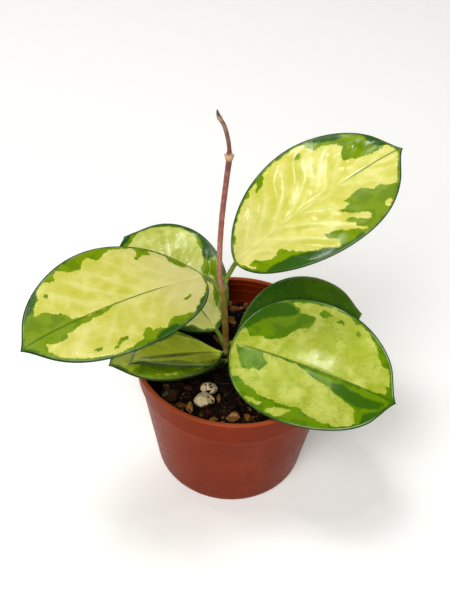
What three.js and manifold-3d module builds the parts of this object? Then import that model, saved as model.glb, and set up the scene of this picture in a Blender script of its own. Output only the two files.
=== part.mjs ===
// A young variegated hoya with seven leaves and one climbing shoot, in a thin plastic nursery pot.
// Millimetres, +Z up. The origin is the centre of the pot's flat underside.
import * as THREE from 'three';
import { mergeVertices } from 'three/addons/utils/BufferGeometryUtils.js';
import Module from 'manifold-3d';

const wasm = await Module();
wasm.setup();

// Clearance that touching pieces keep
const gap = 0.3;

// Pot
const potHeight = 76;
const footRadius = 39;
const footRound = 1;
const wallTopRadius = 47.1;
const collar = { depth: 15, step: 0.6, footRadius: 47.9, topRadius: 48.8 };
const rim = { radius: 50, depth: 1.7, round: 0.4 };
const ribs = { depths: [7.8, 3.4], height: 0.25, width: 0.7 };
const wallThickness = 1;
const floorThickness = 1.2;
const potSegments = 54;
const drainHoles = { count: 6, radius: 3.5, ringRadius: 25, sides: 20 };

// Potting mix: level at the wall, heap round the stem, height of its bumps
const mixLevel = 61;
const mixHeap = 1.5;
const mixBump = 0.6;
const mixEdge = { foot: 1.4, side: 0.2, lift: 2, drop: 1.5 };
const mixRings = [0.96, 0.84, 0.7, 0.55, 0.4, 0.25, 0.1];
const mixSegments = 40;

// Stem and climbing shoot: centreline in the plane y = 0, from the buried foot to the tip, as [x, z]
const stemLine = [
  [0.5, 46], [-0.5, 60], [-2, 67.5], [-3.8, 74], [-5.4, 93], [-7, 111], [-8.3, 117], [-8.8, 124],
  [-9, 140], [-8.5, 156], [-7.4, 172], [-6.6, 184], [-7, 190], [-9, 198], [-11.2, 202], [-12, 205],
];
const stemRadius = { stem: 1.55, shoot: 1.2, tip: 0.85 };
const shootStart = { from: 112, to: 118 };
const tipStart = { from: 184, to: 188 };
const tipLength = 3.5;
const nodes = {
  low: { height: 67, swell: 0.3, length: 3 },
  middle: { height: 73.5, swell: 0.7, length: 3 },
  top: { height: 113.5, swell: 0.8, length: 3 },
  bare: { height: 184, swell: 0.7, length: 1.5 },
};
const sideBuds = { size: [0.9, 0.7, 1.1], out: 1.7, up: 0.8 };
const stemSides = 10;
const stemSteps = 50;

// Leaves. node: the height where the stalk leaves the stem; base: where the blade starts.
// outline: the powers that round the blade's base and tip; cup: how far the margins stand above the
// midrib, as a share of the width. In degrees, heading and pitch give the midrib's direction half-way
// and at the base, curve its turn sideways, turn the last turn near the tip, bend its droop, and roll
// and twist the blade's turn about it.
const leafPlan = {
  leaf_upper_left: {
    node: 113.5, base: [-15.6, -2.5, 121.8], length: 88, width: 60, outline: [0.59, 0.62], cup: 0.09,
    heading: 215, curve: 6, turn: 6, pitch: 9, bend: 16, roll: -5, twist: -13,
  },
  leaf_upper_right: {
    node: 113.5, base: [-1.7, 8.3, 121.2], length: 93, width: 63, outline: [0.58, 0.59], cup: 0.055,
    heading: 28, curve: -1, turn: -7, pitch: 33, bend: 13, roll: 8, twist: 19,
  },
  leaf_back_left: {
    node: 74, base: [-9.3, 7.1, 78.3], length: 82, width: 54, outline: [0.65, 0.52], cup: 0.055,
    heading: 130, curve: 1, turn: 6, pitch: 19, bend: 28, roll: -12, twist: -4,
  },
  leaf_front_right: {
    node: 74, base: [-1.4, -4.9, 82.6], length: 81.5, width: 61.5, outline: [0.46, 0.49], cup: 0.12,
    heading: -23, curve: -1, turn: 1, pitch: 5.5, bend: 14, roll: 22.5, twist: -11,
  },
  leaf_back_right: {
    node: 67, base: [0.7, 5.1, 70.7], length: 65, width: 52, outline: [0.56, 0.56], cup: 0.05,
    heading: -2, curve: 7, turn: -9, pitch: 28.5, bend: 5, roll: 30, twist: 6,
  },
  leaf_low_left: {
    node: 72, base: [-5.2, -3.2, 73.2], length: 54.5, width: 38.5, outline: [1.15, 1.25], cup: 0.11,
    heading: 209, curve: 11, turn: 21, pitch: 21, bend: 3, roll: 15, twist: 8,
  },
  leaf_low_left_under: {
    node: 66.5, base: [-4.2, -4.6, 69.2], length: 61, width: 34, outline: [0.95, 0.6], cup: -0.005,
    heading: 202, curve: 8, turn: 10, pitch: 19, bend: 3, roll: 16, twist: -6,
  },
};
const stalk = { radius: 1.1, lean: 0.35, fade: 0.1 };
const bladeThickness = 1.7;
const tipPoint = { share: 0.035, length: 0.07, halfWidth: 0.045, thinFrom: 4 };
const turnStart = 0.6;
const bladeSteps = 20;
const stalkSteps = 6;
const sectionPoints = 16;

// Stones and chips on the mix: at is the place in plan, size the three half-axes, turn in degrees about Z,
// and lift how far a stone lies higher than the rest
const stones = {
  pumice_large: { at: [-13.6, -26.4], size: [4.9, 4.3, 4], turn: 20, lift: 2.2 },
  pumice_small: { at: [-11.6, -18.2], size: [4.3, 3.3, 3.1], turn: -15, lift: 0.6 },
  grey_stone: { at: [-29.9, -22.8], size: [4.7, 4.2, 3.4], turn: 30, lift: 0 },
};
const chips = [
  { at: [-24.4, -28.2], size: [2.3, 2.6, 1.8], turn: 50 },
  { at: [-20.3, -29.4], size: [2.1, 3.3, 2.2], turn: 200 },
  { at: [-22, -16.3], size: [2.4, 1.7, 1.3], turn: 10 },
  { at: [-9, -35.4], size: [2.9, 1.6, 1.4], turn: 10 },
  { at: [0.3, -34.3], size: [3.3, 3.1, 2.6], turn: -20 },
  { at: [7.1, -33.5], size: [2.1, 2.7, 2.8], turn: 15 },
  { at: [-0.3, 39.6], size: [4, 2.4, 2.2], turn: 20 },
  { at: [-1.6, 31], size: [3.3, 2.5, 2], turn: -40 },
  { at: [6.5, 34], size: [2.7, 3.2, 2.1], turn: 25 },
  { at: [18, 30], size: [3.2, 2.3, 1.6], turn: 70 },
  { at: [31, 17], size: [2.7, 2.1, 1.5], turn: 5 },
  { at: [34, -9], size: [2.9, 2, 1.6], turn: -55 },
  { at: [-12, -31.4], size: [3.4, 2.2, 1.9], turn: -10 },
  { at: [-6.9, -23.4], size: [1.2, 2.6, 1.2], turn: -10 },
  { at: [-35, 6], size: [2.3, 2.8, 1.5], turn: -10 },
];
const stoneForm = { uneven: 0.18, detail: 2, seed: 11 };
const chipForm = { uneven: 0.3, detail: 1, seed: 31 };
const sinkShare = 0.35;
const twig = {
  from: [-2.9, 6.2, 63], to: [-10.7, 16.4, 64.7], radius: 1, knots: 2, knotHeight: 0.2, cap: 0.3,
  sides: 8, steps: 10,
};

const finishes = {
  pot: { color: 0xb5532a, roughness: 0.35, metalness: 0 },
  mix: { color: 0x2a1f17, roughness: 0.95, metalness: 0 },
  stem: { color: 0x8a5a44, roughness: 0.55, metalness: 0 },
  creamLeaf: { color: 0xc9d070, roughness: 0.3, metalness: 0 },
  greenLeaf: { color: 0x3f6414, roughness: 0.3, metalness: 0 },
  pumice: { color: 0xcfc2a4, roughness: 0.9, metalness: 0 },
  stone: { color: 0x6b655c, roughness: 0.9, metalness: 0 },
  bark: { color: 0x7a5231, roughness: 0.9, metalness: 0 },
};

// A repeatable stream of numbers from 0 to 1
function numberStream(seed) {
  let state = seed;
  return () => {
    state = (state * 1664525 + 1013904223) % 4294967296;
    return state / 4294967296;
  };
}

// Closed skin over rings of equal point count, drawn to one point at each end
function skin(rings, start, end) {
  const count = rings[0].length;
  const positions = [start, ...rings.flat(), end].flatMap((point) => point.toArray());
  const last = 1 + rings.length * count;
  const faces = [];
  for (let k = 0; k < count; k += 1) {
    const next = (k + 1) % count;
    faces.push(0, 1 + next, 1 + k);
    for (let ring = 0; ring < rings.length - 1; ring += 1) {
      const here = 1 + ring * count;
      const above = here + count;
      faces.push(here + k, here + next, above + next);
      faces.push(here + k, above + next, above + k);
    }
    faces.push(last - count + k, last - count + next, last);
  }
  const geometry = new THREE.BufferGeometry();
  geometry.setAttribute('position', new THREE.Float32BufferAttribute(positions, 3));
  geometry.setIndex(faces);
  return geometry;
}

// Ring of points of one radius round a centre
function roundRing(centre, side, normal, radius, count) {
  return Array.from({ length: count }, (_, j) => {
    const angle = (2 * Math.PI * j) / count;
    return centre.clone()
      .addScaledVector(side, radius * Math.cos(angle))
      .addScaledVector(normal, radius * Math.sin(angle));
  });
}

function solidOf(geometry) {
  const bare = geometry.clone();
  bare.deleteAttribute('normal');
  bare.deleteAttribute('uv');
  const merged = mergeVertices(bare);
  return new wasm.Manifold(new wasm.Mesh({
    numProp: 3,
    vertProperties: new Float32Array(merged.attributes.position.array),
    triVerts: new Uint32Array(merged.index.array),
  }));
}

function geometryOf(solid) {
  const mesh = solid.getMesh();
  const geometry = new THREE.BufferGeometry();
  geometry.setAttribute('position', new THREE.Float32BufferAttribute(mesh.vertProperties, 3));
  geometry.setIndex(Array.from(mesh.triVerts));
  geometry.computeVertexNormals();
  return geometry;
}

// Pot: one lathed wall with a rolled lip, a collar with two ribs, and round drain holes in the floor
const collarBottom = potHeight - collar.depth;

function wallRadius(z) {
  return THREE.MathUtils.mapLinear(z, 0, collarBottom, footRadius, wallTopRadius);
}

function collarRadius(z) {
  return THREE.MathUtils.mapLinear(z, collarBottom, potHeight, collar.footRadius, collar.topRadius);
}

function potGeometry() {
  const lipBottom = potHeight - rim.depth;
  const outside = [
    [0, 0], [footRadius - footRound, 0], [footRadius, footRound],
    [wallTopRadius, collarBottom - collar.step], [collar.footRadius, collarBottom],
  ];
  for (const depth of ribs.depths) {
    const z = potHeight - depth;
    outside.push([collarRadius(z), z - ribs.width]);
    outside.push([collarRadius(z) + ribs.height, z]);
    outside.push([collarRadius(z), z + ribs.width]);
  }
  outside.push([collarRadius(lipBottom), lipBottom], [rim.radius, lipBottom + rim.round]);
  outside.push([rim.radius, potHeight - rim.round], [rim.radius - rim.round, potHeight]);
  const inside = [
    [collar.topRadius - wallThickness + rim.round, potHeight],
    [collar.topRadius - wallThickness, potHeight - rim.round],
    [collar.footRadius - wallThickness, collarBottom],
    [wallTopRadius - wallThickness, collarBottom - collar.step],
    [wallRadius(2 * floorThickness) - wallThickness, 2 * floorThickness],
    [wallRadius(floorThickness) - wallThickness - floorThickness, floorThickness], [0, floorThickness],
  ];
  const profile = [...outside, ...inside].map(([r, z]) => new THREE.Vector2(r, z));
  const wall = new THREE.LatheGeometry(profile, potSegments);
  wall.rotateX(Math.PI / 2);
  let solid = solidOf(wall);
  const { radius, ringRadius, sides } = drainHoles;
  const hole = new THREE.CylinderGeometry(radius, radius, 4 * floorThickness, sides);
  hole.rotateX(Math.PI / 2);
  for (let k = 0; k < drainHoles.count; k += 1) {
    const angle = (2 * Math.PI * k) / drainHoles.count;
    const cutter = hole.clone().translate(ringRadius * Math.cos(angle), ringRadius * Math.sin(angle), 0);
    solid = solid.subtract(solidOf(cutter));
  }
  return geometryOf(solid);
}

// Stem: a round section along a smooth line, swollen at the nodes, with a pointed tip
const stemCurve = new THREE.CatmullRomCurve3(
  stemLine.map(([x, z]) => new THREE.Vector3(x, 0, z)), false, 'centripetal');

function stemRadiusAt(z) {
  const ease = THREE.MathUtils.smoothstep;
  const { stem, shoot, tip } = stemRadius;
  let radius = THREE.MathUtils.lerp(stem, shoot, ease(z, shootStart.from, shootStart.to));
  radius = THREE.MathUtils.lerp(radius, tip, ease(z, tipStart.from, tipStart.to));
  for (const node of Object.values(nodes)) {
    radius += node.swell * Math.exp(-(((z - node.height) / node.length) ** 2));
  }
  const tipHeight = stemLine.at(-1)[1];
  return radius * Math.sqrt(THREE.MathUtils.clamp((tipHeight - z) / tipLength, 0, 1));
}

function stemSkin(extra) {
  const across = new THREE.Vector3(0, 1, 0);
  const foot = stemCurve.getPointAt(0);
  const tip = stemCurve.getPointAt(1);
  foot.z -= extra;
  tip.z += extra;
  const rings = [];
  for (let k = 0; k < stemSteps; k += 1) {
    const share = k / stemSteps;
    const centre = k === 0 ? foot : stemCurve.getPointAt(share);
    const side = new THREE.Vector3().crossVectors(across, stemCurve.getTangentAt(share)).normalize();
    rings.push(roundRing(centre, side, across, stemRadiusAt(centre.z) + extra, stemSides));
  }
  return skin(rings, foot, tip);
}

// Centre of the stem at a height, found by halving
function stemPointAt(height) {
  let low = 0;
  let high = 1;
  for (let k = 0; k < 30; k += 1) {
    const middle = (low + high) / 2;
    if (stemCurve.getPoint(middle).z < height) {
      low = middle;
    } else {
      high = middle;
    }
  }
  return stemCurve.getPoint(low);
}

function stemGeometry() {
  const bare = stemPointAt(nodes.bare.height);
  let solid = solidOf(stemSkin(0));
  for (const side of [-1, 1]) {
    const bud = new THREE.SphereGeometry(1, 10, 8);
    bud.scale(...sideBuds.size);
    bud.translate(bare.x + side * sideBuds.out, 0, bare.z + sideBuds.up);
    solid = solid.add(solidOf(bud));
  }
  return geometryOf(solid);
}

// Leaf outline: half the width at a share u of the midrib, round at the base and drawn to a short point
function halfWidth(leaf, u) {
  const v = Math.min(u / (1 - tipPoint.share), 1);
  const [base, tip] = leaf.outline;
  const widest = base / (base + tip);
  const round = (v ** base * (1 - v) ** tip) / (widest ** base * (1 - widest) ** tip);
  const left = (1 - u) / tipPoint.length;
  const point = left < 1 ? tipPoint.halfWidth * left : 0;
  return (leaf.width / 2) * Math.max(round, point);
}

function bladeFrame(leaf, u) {
  const late = Math.max((u - turnStart) / (1 - turnStart), 0) ** 2;
  const heading = THREE.MathUtils.degToRad(leaf.heading + leaf.curve * (u - 0.5) + leaf.turn * late);
  const pitch = THREE.MathUtils.degToRad(leaf.pitch - leaf.bend * u);
  const roll = THREE.MathUtils.degToRad(leaf.roll + leaf.twist * (u - 0.5));
  const along = new THREE.Vector3(
    Math.cos(pitch) * Math.cos(heading), Math.cos(pitch) * Math.sin(heading), Math.sin(pitch));
  const level = new THREE.Vector3(-Math.sin(heading), Math.cos(heading), 0);
  const side = level.clone().applyAxisAngle(along, roll);
  return { along, side, normal: new THREE.Vector3().crossVectors(along, side) };
}

// One section of stalk or blade: an ellipse whose flanks are lifted by the cup
function leafSection(centre, side, normal, reach, halfThickness, lift) {
  return Array.from({ length: sectionPoints }, (_, j) => {
    const angle = (2 * Math.PI * j) / sectionPoints;
    const w = Math.cos(angle);
    return centre.clone()
      .addScaledVector(side, reach * w)
      .addScaledVector(normal, halfThickness * Math.sin(angle) + lift * w * w);
  });
}

function leafGeometry(leaf) {
  const base = new THREE.Vector3(...leaf.base);
  const first = bladeFrame(leaf, 0);
  const node = stemPointAt(leaf.node);
  const lead = base.clone().addScaledVector(first.along, -stalk.lean * base.distanceTo(node));
  const stalkLine = new THREE.QuadraticBezierCurve3(node, lead, base);
  const rings = [];
  for (let k = 0; k < stalkSteps; k += 1) {
    const along = stalkLine.getTangent(k / stalkSteps);
    const side = first.side.clone().addScaledVector(along, -along.dot(first.side)).normalize();
    const normal = new THREE.Vector3().crossVectors(along, side);
    rings.push(roundRing(stalkLine.getPoint(k / stalkSteps), side, normal, stalk.radius, sectionPoints));
  }
  const centre = base.clone();
  let before = { u: 0, along: first.along };
  for (let k = 0; k < bladeSteps; k += 1) {
    const u = (1 - Math.cos((Math.PI * k) / bladeSteps)) / 2;
    const frame = bladeFrame(leaf, u);
    const step = ((u - before.u) * leaf.length) / 2;
    centre.addScaledVector(before.along, step).addScaledVector(frame.along, step);
    const reach = Math.max(halfWidth(leaf, u), stalk.radius * (1 - u));
    const thin = u > 0.5 ? Math.min(1, reach / tipPoint.thinFrom) : 1;
    const thick = THREE.MathUtils.lerp(stalk.radius, bladeThickness / 2, Math.min(u / stalk.fade, 1));
    const lift = leaf.cup * leaf.width * ((2 * reach) / leaf.width) ** 2;
    rings.push(leafSection(centre, frame.side, frame.normal, reach, thick * thin, lift));
    before = { u, along: frame.along };
  }
  const tip = centre.addScaledVector(before.along, (1 - before.u) * leaf.length);
  return skin(rings, node, tip);
}

// Stones and chips: a ball of flats with uneven radii, pressed a little into the mix
function mixTop(x, y) {
  const out = Math.hypot(x, y) / wallTopRadius;
  const bump = mixBump * (Math.sin(0.43 * x + 1) * Math.cos(0.37 * y) + 0.5 * Math.sin(0.9 * y + 0.4 * x));
  return mixLevel + mixHeap * (1 - out * out) + bump * (1 - out ** 6);
}

function lumpGeometry(piece, form, order, extra) {
  const next = numberStream(form.seed + order);
  const ball = new THREE.IcosahedronGeometry(1, form.detail);
  ball.deleteAttribute('normal');
  ball.deleteAttribute('uv');
  const lump = mergeVertices(ball, 1e-3);
  const places = lump.attributes.position;
  for (let k = 0; k < places.count; k += 1) {
    const point = new THREE.Vector3().fromBufferAttribute(places, k);
    point.multiplyScalar(1 - form.uneven * next());
    places.setXYZ(k, point.x, point.y, point.z);
  }
  const [a, b, c] = piece.size;
  lump.scale(a + extra, b + extra, c + extra);
  lump.rotateZ(THREE.MathUtils.degToRad(piece.turn));
  const [x, y] = piece.at;
  lump.translate(x, y, mixTop(x, y) + c * (1 - 2 * sinkShare) + (piece.lift ?? 0));
  return lump;
}

// Twig: a short knotty stick lying on the mix behind the stem
function twigSkin(extra) {
  const along = new THREE.Vector3(...twig.to).sub(new THREE.Vector3(...twig.from)).normalize();
  const from = new THREE.Vector3(...twig.from).addScaledVector(along, -extra);
  const to = new THREE.Vector3(...twig.to).addScaledVector(along, extra);
  const side = new THREE.Vector3(-along.y, along.x, 0).normalize();
  const normal = new THREE.Vector3().crossVectors(along, side);
  const rings = [];
  for (let k = 0; k <= twig.steps; k += 1) {
    const share = k / twig.steps;
    const knot = twig.knotHeight * Math.cos(2 * Math.PI * twig.knots * share);
    const radius = twig.radius * (1 + knot) + extra;
    rings.push(roundRing(from.clone().lerp(to, share), side, normal, radius, twig.sides));
  }
  return skin(rings, from.addScaledVector(along, -twig.cap), to.addScaledVector(along, twig.cap));
}

// Potting mix: fills the pot up to its uneven top, and gives way to what stands or lies in it
function levelRing(radius, heightAt) {
  return Array.from({ length: mixSegments }, (_, j) => {
    const angle = (2 * Math.PI * j) / mixSegments;
    const x = radius * Math.cos(angle);
    const y = radius * Math.sin(angle);
    return new THREE.Vector3(x, y, heightAt(x, y));
  });
}

function mixGeometry(sunk) {
  const flats = Math.cos(Math.PI / potSegments);
  const inner = (z) => (wallRadius(z) - wallThickness - gap) * flats - mixEdge.side;
  const bottom = floorThickness + gap;
  const shoulder = bottom + mixEdge.lift;
  const brim = mixLevel - mixEdge.drop;
  const rings = [
    levelRing(inner(bottom) - mixEdge.foot, () => bottom),
    levelRing(inner(shoulder), () => shoulder),
    levelRing(inner(brim), () => brim),
  ];
  for (const share of mixRings) {
    rings.push(levelRing(share * inner(brim), mixTop));
  }
  const top = new THREE.Vector3(0, 0, mixTop(0, 0));
  let solid = solidOf(skin(rings, new THREE.Vector3(0, 0, bottom), top));
  for (const piece of sunk) {
    solid = solid.subtract(solidOf(piece));
  }
  return geometryOf(solid);
}

// The whole plant
const plant = new THREE.Group();

function addPiece(name, geometry, finish) {
  const piece = new THREE.Mesh(geometry, new THREE.MeshStandardMaterial(finish));
  piece.name = name;
  plant.add(piece);
}

addPiece('pot', potGeometry(), finishes.pot);
addPiece('vine_stem', stemGeometry(), finishes.stem);

const sleeve = solidOf(stemSkin(gap));
for (const [name, leaf] of Object.entries(leafPlan)) {
  const blade = solidOf(leafGeometry(leaf)).subtract(sleeve);
  addPiece(name, geometryOf(blade), name === 'leaf_back_right' ? finishes.greenLeaf : finishes.creamLeaf);
}

const sunk = [stemSkin(gap), twigSkin(gap)];

function addLump(name, lump, form, order, finish) {
  addPiece(name, lumpGeometry(lump, form, order, 0), finish);
  sunk.push(lumpGeometry(lump, form, order, gap));
}

Object.entries(stones).forEach(([name, stone], k) => {
  addLump(name, stone, stoneForm, k, name === 'grey_stone' ? finishes.stone : finishes.pumice);
});
chips.forEach((chip, k) => {
  addLump(`bark_chip_${String(k + 1).padStart(2, '0')}`, chip, chipForm, k, finishes.bark);
});
addPiece('woody_twig', twigSkin(0), finishes.bark);
addPiece('potting_mix', mixGeometry(sunk), finishes.mix);

export default plant;
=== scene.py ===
# A young variegated hoya with one climbing shoot, in a thin terracotta-coloured nursery pot.
# Sizes in the dictionaries are millimetres and degrees; the finished meshes are metres.
import math

import bmesh
import bpy
import numpy as np
from mathutils import Matrix, Vector


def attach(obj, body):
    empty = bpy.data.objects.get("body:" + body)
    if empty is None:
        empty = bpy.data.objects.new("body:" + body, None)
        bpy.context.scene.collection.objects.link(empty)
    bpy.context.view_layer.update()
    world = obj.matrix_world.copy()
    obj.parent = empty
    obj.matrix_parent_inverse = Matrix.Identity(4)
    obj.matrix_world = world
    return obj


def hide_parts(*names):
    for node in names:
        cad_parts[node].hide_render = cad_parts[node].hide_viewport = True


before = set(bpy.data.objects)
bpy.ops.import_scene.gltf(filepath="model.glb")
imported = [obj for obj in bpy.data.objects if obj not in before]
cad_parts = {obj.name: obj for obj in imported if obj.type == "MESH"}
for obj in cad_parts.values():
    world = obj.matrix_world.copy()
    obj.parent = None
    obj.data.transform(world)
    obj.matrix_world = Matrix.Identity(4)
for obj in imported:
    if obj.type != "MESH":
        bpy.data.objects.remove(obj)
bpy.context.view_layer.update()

mm = 0.001
print("frame loaded:", len(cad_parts), "nodes")


# Eases from 0 at start to 1 at end, level at both ends
def ease(value, start, end):
    t = np.clip((value - start) / (end - start), 0, 1)
    return t * t * (3 - 2 * t)


def unit(vectors):
    return vectors / np.linalg.norm(vectors, axis=-1, keepdims=True)


# Value noise from 0 to 1: one hashed number for each corner of a cubic lattice, eased between the corners
def latticeNoise(points, cell, seed):
    place = np.asarray(points, float) / cell
    low = np.floor(place).astype(np.int64)
    share = place - low
    share = share * share * (3 - 2 * share)
    total = np.zeros(place.shape[:-1])
    for corner in np.ndindex(2, 2, 2):
        at = low + np.array(corner)
        mixed = (at[..., 0] * 73856093) ^ (at[..., 1] * 19349663) ^ (at[..., 2] * 83492791) ^ (seed * 40503)
        mixed = ((mixed ^ (mixed >> 13)) * 1274126177) & 0x7FFFFFFF
        value = ((mixed ^ (mixed >> 15)) & 0xFFFF) / 65535
        total += value * np.prod(np.where(corner, share, 1 - share), axis=-1)
    return total


# Octaves of lattice noise, each half as coarse and half as strong, from about -1 to 1
def lumpiness(points, cell, seed, octaves=3):
    total = sum(
        (2 * latticeNoise(points, cell / 2 ** k, seed + 7 * k) - 1) / 2 ** k for k in range(octaves)
    )
    return total / (2 - 2 ** (1 - octaves))


# Flat coordinates as points of a plane in space, for the noise
def onPlane(x, y):
    x, y = np.broadcast_arrays(x, y)
    return np.stack([x, y, np.zeros_like(x)], axis=-1)


# Angles of the points of a ring
def fullTurn(count):
    return np.linspace(0, 2 * np.pi, count, endpoint=False)


# Mesh from points in millimetres and arrays of quads and triangles, shaded smooth
def meshOf(name, points, quads, triangles=()):
    quads = np.asarray(quads, np.int32).reshape(-1, 4)
    triangles = np.asarray(triangles, np.int32).reshape(-1, 3)
    corners = np.concatenate([quads.ravel(), triangles.ravel()])
    counts = np.concatenate([np.full(len(quads), 4), np.full(len(triangles), 3)])
    starts = np.concatenate([[0], np.cumsum(counts)[:-1]])
    mesh = bpy.data.meshes.new(name)
    mesh.vertices.add(len(points))
    mesh.vertices.foreach_set("co", (np.asarray(points) * mm).astype(np.float32).ravel())
    mesh.loops.add(len(corners))
    mesh.loops.foreach_set("vertex_index", corners.astype(np.int32))
    mesh.polygons.add(len(counts))
    mesh.polygons.foreach_set("loop_start", starts.astype(np.int32))
    mesh.update(calc_edges=True)
    mesh.polygons.foreach_set("use_smooth", np.ones(len(counts), bool))
    mesh.update()
    return mesh


def addField(mesh, name, values):
    kind = "FLOAT" if values.ndim == 1 else "FLOAT_VECTOR"
    field = mesh.attributes.new(name, kind, "POINT")
    field.data.foreach_set("value" if values.ndim == 1 else "vector", values.astype(np.float32).ravel())


# Faces of a closed skin over rings of points, drawn to one point at each end: the start is point 0
def skinFaces(rows, count):
    here = 1 + np.arange(rows)[:, None] * count + np.arange(count)
    beside = np.roll(here, -1, axis=1)
    quads = np.stack([here[:-1], beside[:-1], beside[1:], here[1:]], axis=-1).reshape(-1, 4)
    first, last = np.zeros(count, int), np.full(count, 1 + rows * count)
    opening = np.stack([first, beside[0], here[0]], axis=-1)
    closing = np.stack([here[-1], beside[-1], last], axis=-1)
    return quads, np.concatenate([opening, closing])


# One mesh of closed skins, each given as (rings, start, end). Rings turn right-handed about the way they
# go, so the faces point outwards. A field has an array for each skin, with a value for each ring point.
def skinMesh(name, skins, fields=None):
    points, quads, triangles, first = [], [], [], 0
    for rings, start, end in skins:
        fours, threes = skinFaces(*rings.shape[:2])
        points += [np.reshape(start, (1, 3)), rings.reshape(-1, 3), np.reshape(end, (1, 3))]
        quads.append(fours + first)
        triangles.append(threes + first)
        first += rings.shape[0] * rings.shape[1] + 2
    mesh = meshOf(name, np.concatenate(points), np.concatenate(quads), np.concatenate(triangles))
    for field, arrays in (fields or {}).items():
        parts = []
        for values in arrays:
            flat = values.reshape(-1, *values.shape[2:])
            parts += [values[0].mean(axis=0)[None], flat, values[-1].mean(axis=0)[None]]
        addField(mesh, field, np.concatenate(parts))
    return mesh


# Rings of a tube: points along its line, a radius for each, and a fixed direction kept on one side
def tubeRings(line, radius, sides, across=(0.0, 1.0, 0.0)):
    along = unit(np.gradient(line, axis=0))
    side = unit(np.cross(np.broadcast_to(across, along.shape), along))
    normal = np.cross(along, side)
    angle = fullTurn(sides)
    radius = np.asarray(radius)
    if radius.ndim == 1:
        radius = radius[:, None]
    out = np.cos(angle)[:, None] * side[:, None] + np.sin(angle)[:, None] * normal[:, None]
    return line[:, None] + radius[..., None] * out


def newObject(name, data):
    made = bpy.data.objects.new(name, data)
    bpy.context.scene.collection.objects.link(made)
    return made


def addPiece(name, mesh, material, slot, *nodes):
    piece = newObject(name, mesh)
    mesh.materials.append(material)
    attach(piece, "root")
    if nodes:
        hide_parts(*nodes)


# Screen colour from 0 to 255 as the linear colour that a shader takes
def colour(red, green, blue):
    parts = [c / 255 / 12.92 if c <= 10 else ((c / 255 + 0.055) / 1.055) ** 2.4 for c in (red, green, blue)]
    return (*parts, 1.0)


# Shader nodes: numbers and colours are typed into the inputs, sockets are linked to them
def addNode(tree, kind, values=None, **settings):
    node = tree.nodes.new(kind)
    for key, value in settings.items():
        setattr(node, key, value)
    for key, value in (values or {}).items():
        if isinstance(value, bpy.types.NodeSocket):
            tree.links.new(value, node.inputs[key])
        else:
            node.inputs[key].default_value = value
    return node


def maths(tree, operation, *values):
    return addNode(tree, "ShaderNodeMath", dict(enumerate(values)), operation=operation).outputs[0]


def times(tree, first, second):
    return maths(tree, "MULTIPLY", first, second)


# The first times the second plus the third
def timesPlus(tree, first, second, third):
    return maths(tree, "MULTIPLY_ADD", first, second, third)


def mixColour(tree, share, first, second):
    return addNode(tree, "ShaderNodeMix", {0: share, 6: first, 7: second}, data_type="RGBA").outputs[2]


# Share of the way from low to high, eased unless it is to stay straight
def remap(tree, value, low, high, kind="SMOOTHSTEP"):
    values = {"Value": value, "From Min": low, "From Max": high}
    return addNode(tree, "ShaderNodeMapRange", values, interpolation_type=kind).outputs[0]


def noiseOf(tree, place, scale, detail=2.0, rough=0.5, distortion=0.0):
    values = {"Vector": place, "Scale": scale, "Detail": detail, "Roughness": rough, "Distortion": distortion}
    return addNode(tree, "ShaderNodeTexNoise", values).outputs[0]


# Colour ramp from stops given as (place, red, green, blue)
def rampOf(tree, value, stops):
    node = addNode(tree, "ShaderNodeValToRGB", {0: value})
    ramp = node.color_ramp
    while len(ramp.elements) < len(stops):
        ramp.elements.new(0.5)
    for element, (place, *tint) in zip(ramp.elements, stops):
        element.position = place
        element.color = colour(*tint)
    return node.outputs[0]


def stretched(tree, place, x, y, z):
    return addNode(tree, "ShaderNodeMapping", {"Vector": place, "Scale": (x, y, z)}).outputs[0]


def objectPlace(tree):
    return addNode(tree, "ShaderNodeTexCoord").outputs["Object"]


def separated(tree, vector):
    return addNode(tree, "ShaderNodeSeparateXYZ", {0: vector}).outputs


def fieldOf(tree, name):
    node = addNode(tree, "ShaderNodeAttribute", attribute_name=name, attribute_type="GEOMETRY")
    return separated(tree, node.outputs["Vector"])


def newGroup(name, inputs, outputs):
    group = bpy.data.node_groups.new(name, "ShaderNodeTree")
    for title, start in inputs.items():
        group.interface.new_socket(title, in_out="INPUT", socket_type="NodeSocketFloat").default_value = start
    for title in outputs:
        group.interface.new_socket(title, in_out="OUTPUT", socket_type="NodeSocketFloat")
    return group, group.nodes.new("NodeGroupInput").outputs, group.nodes.new("NodeGroupOutput").inputs


def placeGroup(tree, group, **values):
    return addNode(tree, "ShaderNodeGroup", values, node_tree=group).outputs[0]


# Patch with a ragged edge: the signed distance inside it, pushed to and fro by two sizes of noise
def raggedPatchGroup():
    inputs = {"Field": 0.0, "Coarse": 0.8, "Fine": 0.4, "Soft": 0.12}
    group, given, result = newGroup("raggedPatch", inputs, ["Mask"])
    place, push, pushed = objectPlace(group), 3.5, given["Field"]
    for size, scale, detail, rough in (("Coarse", 330.0, 1.5, 0.5), ("Fine", 1500.0, 2.0, 0.6)):
        way = maths(group, "SUBTRACT", noiseOf(group, place, scale, detail, rough), 0.5)
        pushed = timesPlus(group, way, times(group, given[size], push), pushed)
    low = times(group, given["Soft"], -1.0)
    group.links.new(remap(group, pushed, low, given["Soft"]), result["Mask"])
    return group


# Cloudy value: noise spread to the whole range from 0 to 1
def mottleGroup():
    group, given, result = newGroup("mottle", {"Scale": 100.0, "Low": 0.4, "High": 0.6}, ["Value"])
    noise = noiseOf(group, objectPlace(group), given["Scale"], 3.0, 0.55)
    group.links.new(remap(group, noise, given["Low"], given["High"]), result["Value"])
    return group


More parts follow.
